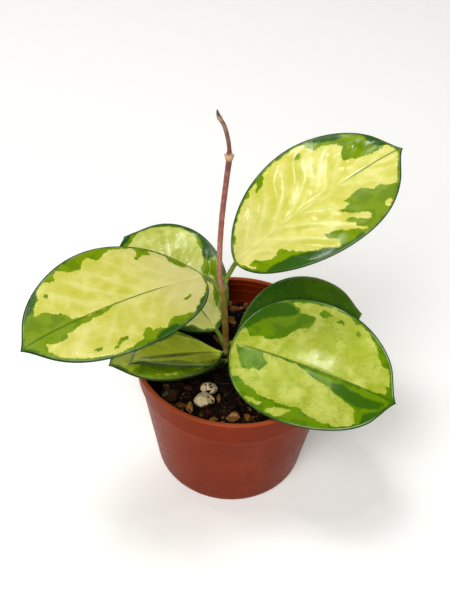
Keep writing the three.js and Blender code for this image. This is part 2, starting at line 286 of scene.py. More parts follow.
# Height for a bump: coarse and fine noise together
def grainGroup():
    group, given, result = newGroup("grain", {"Scale": 900.0, "Fine": 0.5}, ["Height"])
    place = objectPlace(group)
    coarse = noiseOf(group, place, given["Scale"], 2.0, 0.5)
    fine = noiseOf(group, place, times(group, given["Scale"], 4.0), 2.0, 0.6)
    group.links.new(timesPlus(group, fine, given["Fine"], coarse), result["Height"])
    return group


raggedPatch, mottle, grain = raggedPatchGroup(), mottleGroup(), grainGroup()


def ragged(tree, field, coarse, fine, soft):
    return placeGroup(tree, raggedPatch, Field=field, Coarse=coarse, Fine=fine, Soft=soft)


def mottled(tree, scale, low, high):
    return placeGroup(tree, mottle, Scale=scale, Low=low, High=high)


def grained(tree, scale, fine):
    return placeGroup(tree, grain, Scale=scale, Fine=fine)


# Material with its shader; constants are set on the shader's own sockets
def newMaterial(name, **constants):
    material = bpy.data.materials.new(name)
    material.use_nodes = True
    tree = material.node_tree
    shader = tree.nodes["Principled BSDF"]
    for key, value in constants.items():
        shader.inputs[key.replace("_", " ")].default_value = value
    return material, tree, shader


# What varies over a surface: its colour, its roughness, and the height of its bumps in metres
def linkShader(tree, shader, tint, rough, height, distance, strength):
    bump = addNode(tree, "ShaderNodeBump", {"Height": height, "Distance": distance, "Strength": strength})
    for key, socket in (("Base Color", tint), ("Roughness", rough), ("Normal", bump.outputs[0])):
        tree.links.new(socket, shader.inputs[key])


# Leaves. Places on a blade are (u, w): u runs from 0 at its base to 1 at its tip, and w from 1 at its
# left margin to -1 at its right one, seen along the midrib from above. A cell is the size of a noise's lumps.
leafForm = {
    "thickness": 1.7, "edgePower": 2.5, "tipShare": 0.035, "tipStart": 0.9, "tipSlope": 0.55,
    "turnStart": 0.6, "rows": 220, "topColumns": 110, "underColumns": 56, "stalkRows": 26,
    "rowSpread": 0.9, "topSpread": 0.22, "underSpread": 0.15,
    "stalkRadius": 1.1, "stalkLean": 0.12, "stalkFade": 0.1, "stalkStart": 1.2, "stalkSwell": 0.25,
    "swellLength": 1.8, "channel": 0.16, "channelAngle": 0.45, "veinSpacing": 0.12, "veinLean": 0.3,
    "veinWidth": 1.5, "veinCell": 15, "drift": 0.6, "driftCell": 24, "groove": 0.3, "grooveWidth": 0.8,
    "rib": 0.7, "ribWidth": 1.3, "wave": 0.35, "waveCell": 17, "quiltCell": 9, "rimCell": 6, "greenRim": 0.7,
    "beyond": 3.0, "outside": -20.0, "marginMatt": 0.25, "dullMatt": 0.35,
}
# Outline holds the powers of the ways from base and tip. TurnDown, rim and quilt are (left, right), in
# millimetres. Midrib says where its dark line starts and ends and half its width. Dull says where the leaf
# has less gloss: u and w of the middle, then the reach along and across. Finish is named where it differs
# from the slot's. Each patch of green, cream or dark is a list of (u, w) in percent.
leafPlan = {
    "leafUpperLeft": {
        "node": "leaf_upper_left", "slot": "leaf_cream", "seed": 3, "stemHeight": 113.5,
        "base": (-15.6, -2.5, 121.8), "length": 88, "width": 60, "outline": (0.59, 0.62),
        "cup": 0.09, "cupPower": 1.8, "turnDown": (0.2, 0.3), "rim": (1.0, 0.8), "quilt": (0.06, 0.06),
        "heading": 215, "curve": 6, "turn": 6, "pitch": 9, "bend": 16, "roll": -5, "twist": -13,
        "midrib": (0.17, 0.93, 0.36), "dull": (0.92, 0.2, 12, 12), "matt": 0.12, "blush": 0.7, "veins": 0.6,
        "green": [
            [(50, 0), (52, 5), (56, 9), (60, 11), (66, 12), (70, 13), (74, 18), (77.5, 20), (79, 28),
             (83, 34), (86, 33), (88.5, 30), (89, 40), (90, 60), (88, 75), (88.5, 90), (87, 110),
             (105, 110), (105, -110), (79, -110), (79, -92), (80, -80), (84, -72), (85.5, -62), (84, -55),
             (80, -48), (78, -35), (74, -25), (73, -15), (71, -6), (68, 0), (60, 1)],
            [(20, 110), (20, 93), (23, 85), (27, 78), (31, 72), (34, 76), (36, 80), (38, 83), (40, 78),
             (44, 76), (43, 66), (47, 70), (49, 76), (50, 84), (53, 87), (58, 92), (63, 95), (66, 110)],
            [(54.5, 67), (56, 74), (59, 76), (63, 84), (64, 82), (61, 72), (59, 66)],
            [(68, 71), (69, 78), (71.5, 79), (72, 74), (70, 71)],
            [(14, 47), (15, 51), (18, 53), (19.5, 50), (17, 47)],
            [(76, -110), (74, -93), (72, -85), (69, -80), (68, -92), (66, -94), (64, -86), (60, -76),
             (56, -75), (53, -81), (51, -88), (49, -88), (47, -80), (43, -82), (41, -88), (38, -92),
             (33, -91), (27, -96), (26, -90), (25.5, -84), (27, -76), (29, -74), (27.5, -66), (26, -71),
             (24, -77), (20, -80), (20, -92), (17, -110)],
            [(5, -60), (7, -55), (10, -60), (13, -72), (12, -85), (10, -95), (9, -110), (6, -110),
             (5, -85)],
            [(74.5, -68), (76, -67), (77.5, -73), (76.5, -75)],
        ],
        "cream": [],
        "dark": [
            [(1, 110), (4, 93), (8, 85), (12, 79), (16, 86), (21, 92), (25, 110)],
            [(30, 110), (32, 88), (36, 84), (42, 86), (46, 95), (60, 97), (62, 110)],
            [(79, -110), (79, -88), (83, -77), (88, -78), (92, -86), (94, -110)],
        ],
    },
    "leafUpperRight": {
        "node": "leaf_upper_right", "slot": "leaf_cream", "seed": 8, "stemHeight": 113.5,
        "base": (-1.7, 8.3, 121.2), "length": 93, "width": 63, "outline": (0.58, 0.59),
        "cup": 0.055, "cupPower": 2.2, "turnDown": (0.2, 0.3), "rim": (1.1, 0.9), "quilt": (0.6, 0.32),
        "heading": 28, "curve": -1, "turn": -7, "pitch": 33, "bend": 13, "roll": 8, "twist": 19,
        "midrib": (0.62, 0.96, 0.36), "dull": (0.76, -0.7, 16, 10), "matt": 0, "blush": 0.3, "veins": 0.7,
        "green": [
            [(2, 110), (4, 80), (6, 62), (7.5, 66), (8, 85), (9, 110)],
            [(16, 110), (17, 93), (20, 90), (23, 92), (26, 86), (28, 93), (29, 110)],
            [(28, 77), (30, 84), (33, 90), (34, 110), (52, 110), (50, 96), (40, 94), (37, 95), (37.5, 87),
             (35, 81), (31, 78)],
            [(53.5, 76), (55, 79), (58.5, 84), (59, 80), (56.5, 76)],
            [(61, 110), (62, 95), (63.5, 80), (65, 74), (67, 77), (70, 78), (73, 76), (76, 72), (76.5, 66),
             (75, 55), (73.5, 45), (71.5, 34), (77, 29), (81, 27), (86, 25), (91, 31), (93.5, 50), (95, 75),
             (96, 110)],
            [(55, -39), (58, -41), (61, -38), (60.5, -30), (63, -28), (70, -27), (72, -35), (75, -45),
             (80, -52), (82, -65), (86, -82), (87.5, -95), (87, -110), (60, -110), (60, -90), (56.5, -78),
             (57, -72), (53, -58), (57, -60), (62, -78), (64.5, -84), (66.5, -79), (65.5, -70), (61, -60),
             (58.5, -53)],
            [(42, -58), (45, -61), (50, -67), (51, -75), (56, -84), (60, -95), (60, -110), (44, -110),
             (45, -85), (45.5, -78), (42, -68)],
            [(3, -110), (5, -55), (8, -36), (10, -45), (12, -52), (15, -55), (18, -54), (19, -43),
             (22, -41), (23.5, -50), (27, -62), (29, -68), (33, -75), (38, -80), (42, -88), (44, -110)],
        ],
        "cream": [
            [(74, -84), (76, -82), (79, -90), (78, -95), (75, -93)],
            [(2, -72), (5, -66), (7, -72), (6, -84), (3, -82)],
        ],
        "dark": [
            [(6, -110), (10, -88), (13, -78), (16, -72), (20, -70), (24, -68), (30, -73), (35, -78),
             (40, -85), (43, -92), (50, -93), (56, -90), (60, -110)],
            [(64, 110), (66, 90), (70, 84), (76, 82), (79, 88), (80, 110)],
            [(88, 110), (87.5, 60), (90, 45), (93, 52), (95, 80), (96, 110)],
        ],
    },
    "leafBackLeft": {
        "node": "leaf_back_left", "slot": "leaf_cream", "finish": "leafCreamShaded", "seed": 14, "stemHeight": 74,
        "base": (-9.3, 7.1, 78.3), "length": 82, "width": 54, "outline": (0.65, 0.52),
        "cup": 0.055, "cupPower": 1.8, "turnDown": (0.8, 0.1), "rim": (0.8, 1.6), "quilt": (0.45, 0.8),
        "heading": 130, "curve": 1, "turn": 6, "pitch": 19, "bend": 28, "roll": -12, "twist": -4,
        "midrib": (0.02, 0.4, 0.36), "dull": (0.1, 0.5, 12, 12), "matt": 0, "blush": 0.3, "veins": 0.4,
        "green": [
            [(27, -110), (29, -78), (32, -60), (36, -48), (40, -55), (42, -68), (49, -76), (55, -80),
             (60, -88), (68, -93), (70, -110)],
            [(72, -110), (73, -92), (76, -87), (79, -92), (80, -110)],
            [(4, -110), (6, -72), (10, -52), (14, -46), (20, -50), (26, -60), (31, -70), (32, -110)],
            [(86, 110), (87, 60), (89, 25), (91, -10), (93, -50), (95, -110), (105, -110), (105, 110)],
            [(2, 110), (5, 62), (9, 58), (12, 74), (18, 82), (27, 80), (31, 68), (36, 74), (38, 88),
             (42, 110)],
            [(50, 110), (52, 85), (57, 72), (61, 60), (64, 66), (66, 82), (72, 86), (75, 110)],
            [(44, 42), (47, 47), (50, 44), (48, 38)],
        ],
        "cream": [],
        "dark": [
            [(40, -110), (42, -72), (47, -76), (52, -84), (60, -93), (64, -110)],
            [(90, 110), (91.5, 50), (93, 0), (96, -40), (105, -40), (105, 110)],
            [(1, 110), (4, 75), (9, 72), (14, 86), (20, 110)],
        ],
    },
    "leafFrontRight": {
        "node": "leaf_front_right", "slot": "leaf_speckled", "seed": 21, "stemHeight": 74,
        "base": (-1.4, -4.9, 82.6), "length": 81.5, "width": 61.5, "outline": (0.46, 0.49),
        "cup": 0.12, "cupPower": 2.6, "turnDown": (0.3, 0.3), "rim": (1.1, 0.9), "quilt": (0.06, 0.05),
        "heading": -23, "curve": -1, "turn": 1, "pitch": 5.5, "bend": 14, "roll": 22.5, "twist": -11,
        "midrib": (0.02, 0.94, 0.5), "dull": (0.32, -0.36, 27, 9), "matt": 0, "blush": 0, "veins": 0.3,
        "green": [
            [(3, 110), (4.5, 60), (7, 42), (9, 29), (13, 27), (16.5, 29), (19, 23), (22, 27), (26, 30),
             (30, 39), (33, 50), (37, 56), (41, 58), (42, 76), (36, 77), (32, 78), (31, 84), (27, 92),
             (22, 97), (20, 110)],
            [(41, 82), (44, 88), (48, 89), (50, 84), (47, 79), (43, 79)],
            [(53, 80), (55, 86), (57.5, 84), (57.5, 79)],
            [(64.5, 77), (66, 84), (68, 82), (67.5, 76)],
            [(58, 110), (60, 93), (63, 90), (66, 93), (66, 110)],
            [(72, 110), (70, 96), (77, 88), (80, 82), (80, 74), (83, 73), (85, 69), (88, 76), (90, 85),
             (92, 95), (92, 110)],
            [(20, -1), (30, -1.5), (40, -3), (45, -7), (50, -12), (55, -16), (62, -20), (66, -28),
             (71, -30), (74, -38), (78, -44), (80, -46), (81, -60), (82.5, -70), (83, -85), (80, -95),
             (79, -110), (105, -110), (105, 110), (95, 110), (94.5, 70), (93, 45), (90.5, 35), (93, 25),
             (92.5, 13), (88, 3), (80, 0), (50, 0)],
            [(3, -4), (20, -2), (22, -12), (24.5, -20), (23, -30), (22, -41), (20, -36), (18, -36),
             (16, -46), (11, -50), (9, -42), (6, -30), (4, -15)],
            [(9, -110), (9, -80), (12, -72), (18, -73), (24, -70), (26, -76), (30, -74), (35, -72),
             (45, -72), (50, -68), (53, -69), (56, -76), (60, -78), (64, -80), (68, -88), (71, -86),
             (74, -90), (78, -95), (80, -110)],
        ],
        "cream": [
            [(19, -97), (21, -91), (24, -87), (27, -86), (31, -83), (30, -89), (27, -97)],
            [(35, -97), (35, -88), (38, -84), (42, -78), (49, -76), (46, -85), (44, -93), (40, -98)],
        ],
        "dark": [
            [(2, 110), (3, 62), (6, 54), (9, 60), (14, 68), (20, 68), (27, 70), (31.5, 75), (30, 83),
             (25, 91), (20, 97), (18, 110)],
            [(63, -12), (68, -7), (73, -10), (80, -16), (90, -20), (94, -28), (92, -50), (86, -46),
             (81, -42), (75, -36), (70, -28), (65, -24)],
            [(85, -62), (90, -60), (95, -75), (92, -110), (84, -110), (86, -85)],
        ],
    },
    "leafBackRight": {
        "node": "leaf_back_right", "slot": "leaf_green", "seed": 27, "stemHeight": 67,
        "base": (0.7, 5.1, 70.7), "length": 65, "width": 52, "outline": (0.56, 0.56),
        "cup": 0.05, "cupPower": 1.8, "turnDown": (0.6, 0.6), "rim": (0, 0), "quilt": (0.02, 0.02),
        "heading": -2, "curve": 7, "turn": -9, "pitch": 28.5, "bend": 5, "roll": 30, "twist": 6,
        "midrib": (0.02, 0.9, 0.3), "dull": (0.5, 0, 10, 10), "matt": 0.1, "blush": 0, "veins": 0.2,
        "green": [
            [(-10, 130), (110, 130), (110, -130), (-10, -130)],
        ],
        "cream": [],
        "dark": [
            [(10, 120), (16, 62), (25, 42), (36, 36), (45, 18), (52, -12), (42, -44), (24, -62), (12, -120),
             (60, -120), (72, -62), (78, -20), (74, 22), (66, 50), (62, 80), (68, 120)],
        ],
    },
    "leafLowLeft": {
        "node": "leaf_low_left", "slot": "leaf_lime", "seed": 33, "stemHeight": 72,
        "base": (-5.2, -3.2, 73.2), "length": 54.5, "width": 38.5, "outline": (1.15, 1.25),
        "cup": 0.11, "cupPower": 1.3, "turnDown": (0.7, 0.6), "rim": (0.8, 0.7), "quilt": (0.2, 0.3),
        "heading": 209, "curve": 11, "turn": 21, "pitch": 21, "bend": 3, "roll": 15, "twist": 8,
        "midrib": (0.05, 0.8, 0.5), "dull": (0.5, 0, 10, 10), "matt": 0.1, "blush": 0, "veins": 0.7,
        "green": [
            [(6, 110), (10, 78), (20, 70), (30, 80), (38, 72), (46, 78), (55, 55), (66, 52), (74, 62),
             (86, 50), (92, 30), (105, 0), (105, 110)],
            [(4, -110), (10, -86), (18, -76), (27, -68), (38, -72), (46, -60), (56, -52), (64, -62),
             (70, -78), (80, -70), (90, -50), (105, -20), (105, -110)],
        ],
        "cream": [],
        "dark": [
            [(22, 4), (40, 6), (60, 7), (84, 6), (92, 16), (84, 30), (70, 26), (55, 24), (40, 16)],
            [(18, -110), (26, -86), (40, -86), (50, -74), (60, -76), (66, -90), (80, -110)],
            [(52, 110), (60, 74), (74, 80), (90, 66), (105, 30), (105, 110)],
        ],
    },
    "leafLowLeftUnder": {
        "node": "leaf_low_left_under", "slot": "leaf_lime", "seed": 40, "stemHeight": 66.5,
        "base": (-4.2, -4.6, 69.2), "length": 61, "width": 34, "outline": (0.95, 0.6),
        "cup": -0.005, "cupPower": 1.8, "turnDown": (0.8, 0.6), "rim": (0.9, 0.7), "quilt": (0.1, 0.1),
        "heading": 202, "curve": 8, "turn": 10, "pitch": 19, "bend": 3, "roll": 16, "twist": -6,
        "midrib": (0.05, 0.8, 0.4), "dull": (0.5, 0, 10, 10), "matt": 0.1, "blush": 0, "veins": 0.6,
        "green": [
            [(2, 110), (4, 40), (14, 30), (26, 40), (36, 30), (46, 38), (62, 22), (74, 26), (82, 48),
             (86, 80), (90, 110)],
            [(10, -110), (16, -70), (28, -62), (36, -74), (50, -66), (58, -76), (70, -72), (84, -84),
             (90, -110)],
        ],
        "cream": [
            [(46, 80), (53, 84), (62, 85), (70, 82), (62, 79), (52, 77)],
            [(24, 72), (30, 78), (38, 80), (33, 73), (27, 69)],
        ],
        "dark": [
            [(6, 110), (12, 80), (30, 82), (44, 90), (60, 94), (70, 110)],
            [(93, 60), (96, 20), (105, 0), (105, 110), (95, 110)],
        ],
    },
}

# Stem and climbing shoot. Its line is (x, z); a node or scar is (height, swelling, length).
stem = {
    "line": [
        (0.5, 46), (-0.5, 60), (-2, 67.5), (-3.8, 74), (-5.4, 93), (-7, 111), (-8.3, 117), (-8.8, 124),
        (-9, 140), (-8.5, 156), (-7.4, 172), (-6.6, 184), (-7, 190), (-9, 198), (-11.2, 202), (-12, 205),
    ],
    "radius": 1.55, "shootRadius": 1.2, "tipRadius": 0.85, "shootStart": (112, 118), "tipStart": (184, 188),
    "tipLength": 3.5, "sides": 40, "rows": 420, "wrinkle": 0.07,
    "nodes": [(67, 0.3, 3), (73.5, 0.6, 3), (113.5, 0.7, 2.5), (184, 0.55, 1.2), (201.4, 0.2, 0.7)],
    "scars": [
        (71.4, 0.1, 0.35), (75.6, 0.1, 0.35), (112.2, 0.12, 0.35), (115.6, 0.14, 0.35), (182.9, 0.1, 0.3),
        (185.4, 0.12, 0.3),
    ],
    "buds": {"height": 184.6, "out": 1.45, "radius": 0.62, "length": 2.2},
}


# Centripetal Catmull-Rom curve: on each span the point is the cubic through its ends whose tangents
# come from the neighbouring points, with knots spaced by the square root of the distances
def smoothLine(points, perSpan):
    points = np.asarray(points, float)
    points = np.concatenate([[2 * points[0] - points[1]], points, [2 * points[-1] - points[-2]]])
    before, start, end, after = points[:-3], points[1:-2], points[2:-1], points[3:]
    spans = ((before, start), (start, end), (end, after))
    first, middle, last = (np.sqrt(np.linalg.norm(b - a, axis=1))[:, None] for a, b in spans)
    way = (end - start) / middle
    tangent = ((start - before) / first - (end - before) / (first + middle) + way) * middle
    leave = (way - (after - start) / (middle + last) + (after - end) / last) * middle
    t = np.linspace(0, 1, perSpan, endpoint=False)[None, :, None]
    start, end, tangent, leave = (a[:, None] for a in (start, end, tangent, leave))
    curve = (
        start + tangent * t + (3 * (end - start) - 2 * tangent - leave) * t ** 2
        + (2 * (start - end) + tangent + leave) * t ** 3
    )
    return np.concatenate([curve.reshape(-1, points.shape[1]), points[-2:-1]])


stemLine = smoothLine([(x, 0, z) for x, z in stem["line"]], 40)


def stemPointAt(height):
    return np.array([np.interp(height, stemLine[:, 2], stemLine[:, 0]), 0.0, height])


# Half the width of a blade at u: powers of the ways from base and tip give its round outline, and near
# the tip a cubic goes on from there to a corner with slightly hollow sides
def halfWidth(leaf, u):
    full, start = 1 - leafForm["tipShare"], leafForm["tipStart"]
    base, tip = leaf["outline"]
    widest = base / (base + tip)
    most = widest ** base * (1 - widest) ** tip
    share = np.clip(u, 0, start) / full
    rounded = share ** base * (1 - share) ** tip / most
    t = np.clip((u - start) / (1 - start), 0, 1)
    edge = (start / full) ** base * (1 - start / full) ** tip / most
    slope = edge * (base / start - tip / (full - start)) * (1 - start)
    corner = edge * (1 + 2 * t) * (1 - t) ** 2 + slope * t * (1 - t) ** 2
    corner = corner + leafForm["tipSlope"] * edge * t ** 2 * (1 - t)
    return leaf["width"] / 2 * np.where(t > 0, corner, rounded)


# Directions along, across and out of the blade at u: the heading turns, the pitch droops, the roll twists
def bladeFrames(leaf, u):
    late = np.maximum((u - leafForm["turnStart"]) / (1 - leafForm["turnStart"]), 0) ** 2
    heading = np.radians(leaf["heading"] + leaf["curve"] * (u - 0.5) + leaf["turn"] * late)
    pitch = np.radians(leaf["pitch"] - leaf["bend"] * u)
    roll = np.radians(leaf["roll"] + leaf["twist"] * (u - 0.5))
    flat = np.cos(pitch)
    along = np.stack([flat * np.cos(heading), flat * np.sin(heading), np.sin(pitch)], axis=-1)
    level = np.stack([-np.sin(heading), np.cos(heading), np.zeros_like(heading)], axis=-1)
    side = level * np.cos(roll)[:, None] + np.cross(along, level) * np.sin(roll)[:, None]
    return along, side, np.cross(along, side)


# Signed distance in millimetres from the edge of a patch, positive inside. Its outline is laid on the
# flattened blade, where x = u times the length and y = w times half the width at u.
def patchDistance(leaf, patch, x, y):
    corners = np.array(patch + patch[:1]) / 100
    steps = np.linspace(0, 1, 5)[:-1]
    outline = (corners[:-1, None] + (corners[1:] - corners[:-1])[:, None] * steps[:, None]).reshape(-1, 2)
    flat = np.stack([outline[:, 0] * leaf["length"], outline[:, 1] * halfWidth(leaf, outline[:, 0])], axis=-1)
    flat[:, 1] += leafForm["beyond"] * np.sign(outline[:, 1]) * (np.abs(outline[:, 1]) > 1)
    start, end = flat, np.roll(flat, -1, axis=0)
    edge = end - start
    length = np.maximum((edge ** 2).sum(axis=1), 1e-9)
    fromStart = np.stack([x, y], axis=-1)[..., None, :] - start
    along = np.clip((fromStart * edge).sum(axis=-1) / length, 0, 1)
    distance = np.linalg.norm(fromStart - along[..., None] * edge, axis=-1).min(axis=-1)
    straddles = (start[:, 1] > y[..., None]) != (end[:, 1] > y[..., None])
    rise = np.where(np.abs(edge[:, 1]) < 1e-9, 1e-9, edge[:, 1])
    crossing = start[:, 0] + (y[..., None] - start[:, 1]) / rise * edge[:, 0]
    inside = (straddles & (x[..., None] < crossing)).sum(axis=-1) % 2 == 1
    return np.where(inside, distance, -distance)


def patchField(leaf, patches, x, y):
    field = np.full(x.shape, leafForm["outside"])
    for patch in patches:
        field = np.maximum(field, patchDistance(leaf, patch, x, y))
    return field


# Stalk: a quadratic curve from inside the stem to the blade's base, at shares s of its way
def stalkLine(leaf, along, s):
    foot = stemPointAt(leaf["stemHeight"])
    base = np.array(leaf["base"], float)
    lead = base - along * leafForm["stalkLean"] * np.linalg.norm(base - foot)
    points = foot * (1 - s) ** 2 + lead * 2 * s * (1 - s) + base * s ** 2
    return points, unit((lead - foot) * (1 - s) + (base - lead) * s)


# Rings of the stalk: round, a little swollen where it leaves the stem, with a channel along the top
def stalkRings(leaf, along, side, angle):
    span = np.linalg.norm(np.array(leaf["base"]) - stemPointAt(leaf["stemHeight"]))
    s = np.linspace(leafForm["stalkStart"] / span, 1, leafForm["stalkRows"], endpoint=False)[:, None]
    line, way = stalkLine(leaf, along, s)
    across = unit(side - way * (way @ side)[:, None])
    up = np.cross(way, across)
    fromStem = s * span - leafForm["stalkStart"]
    swell = leafForm["stalkSwell"] * np.exp(-(fromStem / leafForm["swellLength"]) ** 2)
    radius = leafForm["stalkRadius"] * (1 + swell)
    channel = np.exp(-((angle - np.pi / 2) / leafForm["channelAngle"]) ** 2)
    radius = radius * (1 - leafForm["channel"] * ease(1 - s, 0, 0.3) * channel)
    out = np.cos(angle)[:, None] * across[:, None] + np.sin(angle)[:, None] * up[:, None]
    return line[:, None] + out * radius[..., None], line[0]


# Side veins leave the midrib in turn on its two sides and lean towards the tip. Gives the share of the
# way between two veins.
def veinPhase(leaf, u, w, x, y):
    drift = leafForm["drift"] * lumpiness(onPlane(x, y), leafForm["driftCell"], leaf["seed"], 2)
    bent = leafForm["veinLean"] * np.abs(w) ** 0.85
    return (u - bent) / leafForm["veinSpacing"] + np.where(w > 0, 0.0, 0.45) + drift


# Height of the blade's two faces over its flat plan: lifted by the cup and turned down at the margins,
# raised between the side veins, sunk along the midrib above and ribbed along it below
def bladeHeight(leaf, u, w, x, y, reach, isTop, phase):
    form = leafForm
    opened = ease(u, 0, 0.06)
    towardsTip = ease(1 - u, 0, 0.2)
    wide = 2 * reach / leaf["width"]
    lift = leaf["cup"] * leaf["width"] * wide ** 2 * np.abs(w) ** leaf["cupPower"]
    drop = np.where(w > 0, *leaf["turnDown"]) * ease(np.abs(w), 0.8, 1.02) ** 2 * opened * towardsTip
    wave = form["wave"] * lumpiness(onPlane(x, y), form["waveCell"], leaf["seed"] + 2, 2)
    wave = wave * ease(np.abs(w), 0.1, 0.9) * opened
    spots = ease(latticeNoise(onPlane(x, y), form["quiltCell"], leaf["seed"] + 1), 0.3, 0.8)
    bulge = (0.5 - 0.5 * np.cos(2 * np.pi * phase)) * (0.2 + 1.2 * spots)
    bulge = np.where(w > 0, *leaf["quilt"]) * bulge * ease(np.abs(y), 0.3, 7)
    bulge = bulge * (1 - ease(np.abs(w), 0.65, 0.95)) * opened
    groove = form["groove"] * np.exp(-(y / form["grooveWidth"]) ** 2) * opened * ease(1 - u, 0.02, 0.4)
    rib = form["rib"] * np.exp(-(y / form["ribWidth"]) ** 2) * (1 - ease(u, 0, 0.85)) * opened
    thin = np.where(u > 0.5, np.clip(reach / 4, 0, 1), 1)
    grown = np.clip(u / form["stalkFade"], 0, 1)
    half = form["stalkRadius"] + (form["thickness"] / 2 - form["stalkRadius"]) * grown
    power = 2 + (form["edgePower"] - 2) * opened
    body = (1 - np.minimum(np.abs(w), 1) ** power) ** (1 / power) * half * thin
    return lift - drop + wave + np.where(isTop, body + bulge - groove, 0.4 * bulge - body - rib)


# What the leaf's material reads: leafField has green, dark and midrib in millimetres inside their edges,
# leafPlace has the mattness, the blush near the base and the distance from the margin, and leafPart has
# vein, underside and stalk from 0 to 1. The blush is a beige tint that is partly the leaf's own and partly a
# painted soft reflection
def leafFields(leaf, u, w, x, y, reach, angle, phase):
    slope = np.gradient(reach[:, 0], x[:, 0])[:, None]
    margin = np.clip((reach - np.abs(y)) / np.sqrt(1 + slope ** 2), 0, 12)
    rimWidth = 0.8 + 0.5 * latticeNoise(onPlane(x, y), leafForm["rimCell"], leaf["seed"] + 4)
    rimWidth = np.where(w > 0, *leaf["rim"]) * rimWidth
    green = patchField(leaf, leaf["green"], x, y)
    if leaf["cream"]:
        green = np.minimum(green, -patchField(leaf, leaf["cream"], x, y))
    green = np.maximum(green, rimWidth + leafForm["greenRim"] - margin)
    dark = np.maximum(patchField(leaf, leaf["dark"], x, y), rimWidth - margin)
    lineStart, lineEnd, lineWidth = leaf["midrib"]
    line = lineWidth * ease(u, lineStart, lineStart + 0.12) * (1 - 1.2 * ease(u, lineEnd, lineEnd + 0.1))
    fromVein = np.abs(phase - np.round(phase)) * leafForm["veinSpacing"] * leaf["length"]
    vein = np.exp(-(fromVein / leafForm["veinWidth"]) ** 2)
    vein = vein * (1 - ease(np.abs(w), 0.55, 0.9)) * ease(u, 0.04, 0.14) * (1 - ease(u, 0.85, 0.97))
    vein = vein * (0.3 + 1.2 * latticeNoise(onPlane(x, y), leafForm["veinCell"], leaf["seed"] + 6))
    midVein = 0.5 * np.exp(-(y / leafForm["grooveWidth"]) ** 2) * (1 - ease(u, 0.4, 0.6))
    vein = leaf["veins"] * np.maximum(vein, midVein)
    spotU, spotW, alongReach, acrossReach = leaf["dull"]
    spotY = spotW * halfWidth(leaf, np.array(spotU))
    fromSpot = np.hypot((x - spotU * leaf["length"]) / alongReach, (y - spotY) / acrossReach)
    matt = leaf["matt"] + leafForm["marginMatt"] * (1 - ease(margin, 0.3, 2.2))
    matt = matt + leafForm["dullMatt"] * np.exp(-fromSpot ** 4)
    under = np.broadcast_to(ease(-np.sin(angle), 0.1, 0.5), x.shape)
    return {
        "leafField": np.stack([green, dark, line - np.abs(y)], axis=-1),
        "leafPlace": np.stack([matt, leaf["blush"] * (1 - ease(u + 0 * x, 0.1, 0.42)), margin], axis=-1),
        "leafPart": np.stack([vein, under, 1 - ease(u, 0, 0.02) + 0 * x], axis=-1),
    }


# A leaf: the stalk's rings, then the blade's. Across the blade a point lies at half its width times
# cos(angle), and the angle is spread so that margins and midrib get more points.
def leafMesh(name, leaf):
    t = np.arange(leafForm["rows"]) / leafForm["rows"]
    u = t - leafForm["rowSpread"] * np.sin(2 * np.pi * t) / (2 * np.pi)
    along, side, normal = bladeFrames(leaf, u)
    steps = np.diff(u)[:, None] * leaf["length"] / 2 * (along[1:] + along[:-1])
    midrib = np.array(leaf["base"]) + np.concatenate([np.zeros((1, 3)), np.cumsum(steps, axis=0)])
    above, below = (np.arange(leafForm[key]) / leafForm[key] for key in ("topColumns", "underColumns"))
    angle = np.concatenate([
        np.pi * above + leafForm["topSpread"] * np.sin(2 * np.pi * above),
        np.pi * (1 + below) + leafForm["underSpread"] * np.sin(2 * np.pi * below),
    ])
    reach = np.maximum(halfWidth(leaf, u), leafForm["stalkRadius"] * (1 - u))[:, None]
    w = np.cos(angle)[None, :]
    x, y = np.broadcast_arrays(u[:, None] * leaf["length"], w * reach)
    phase = veinPhase(leaf, u[:, None], w, x, y)
    height = bladeHeight(leaf, u[:, None], w, x, y, reach, np.sin(angle) >= -1e-9, phase)
    blade = midrib[:, None] + side[:, None] * y[..., None] + normal[:, None] * height[..., None]
    stalk, foot = stalkRings(leaf, along[0], side[0], angle)
    fields = leafFields(leaf, u[:, None], w, x, y, reach, angle, phase)
    for key, values in fields.items():
        fields[key] = [np.concatenate([np.repeat(values[:1], len(stalk), axis=0), values])]
    tip = midrib[-1] + along[-1] * (1 - u[-1]) * leaf["length"]
    return skinMesh(name, [(np.concatenate([stalk, blade]), foot, tip)], fields)
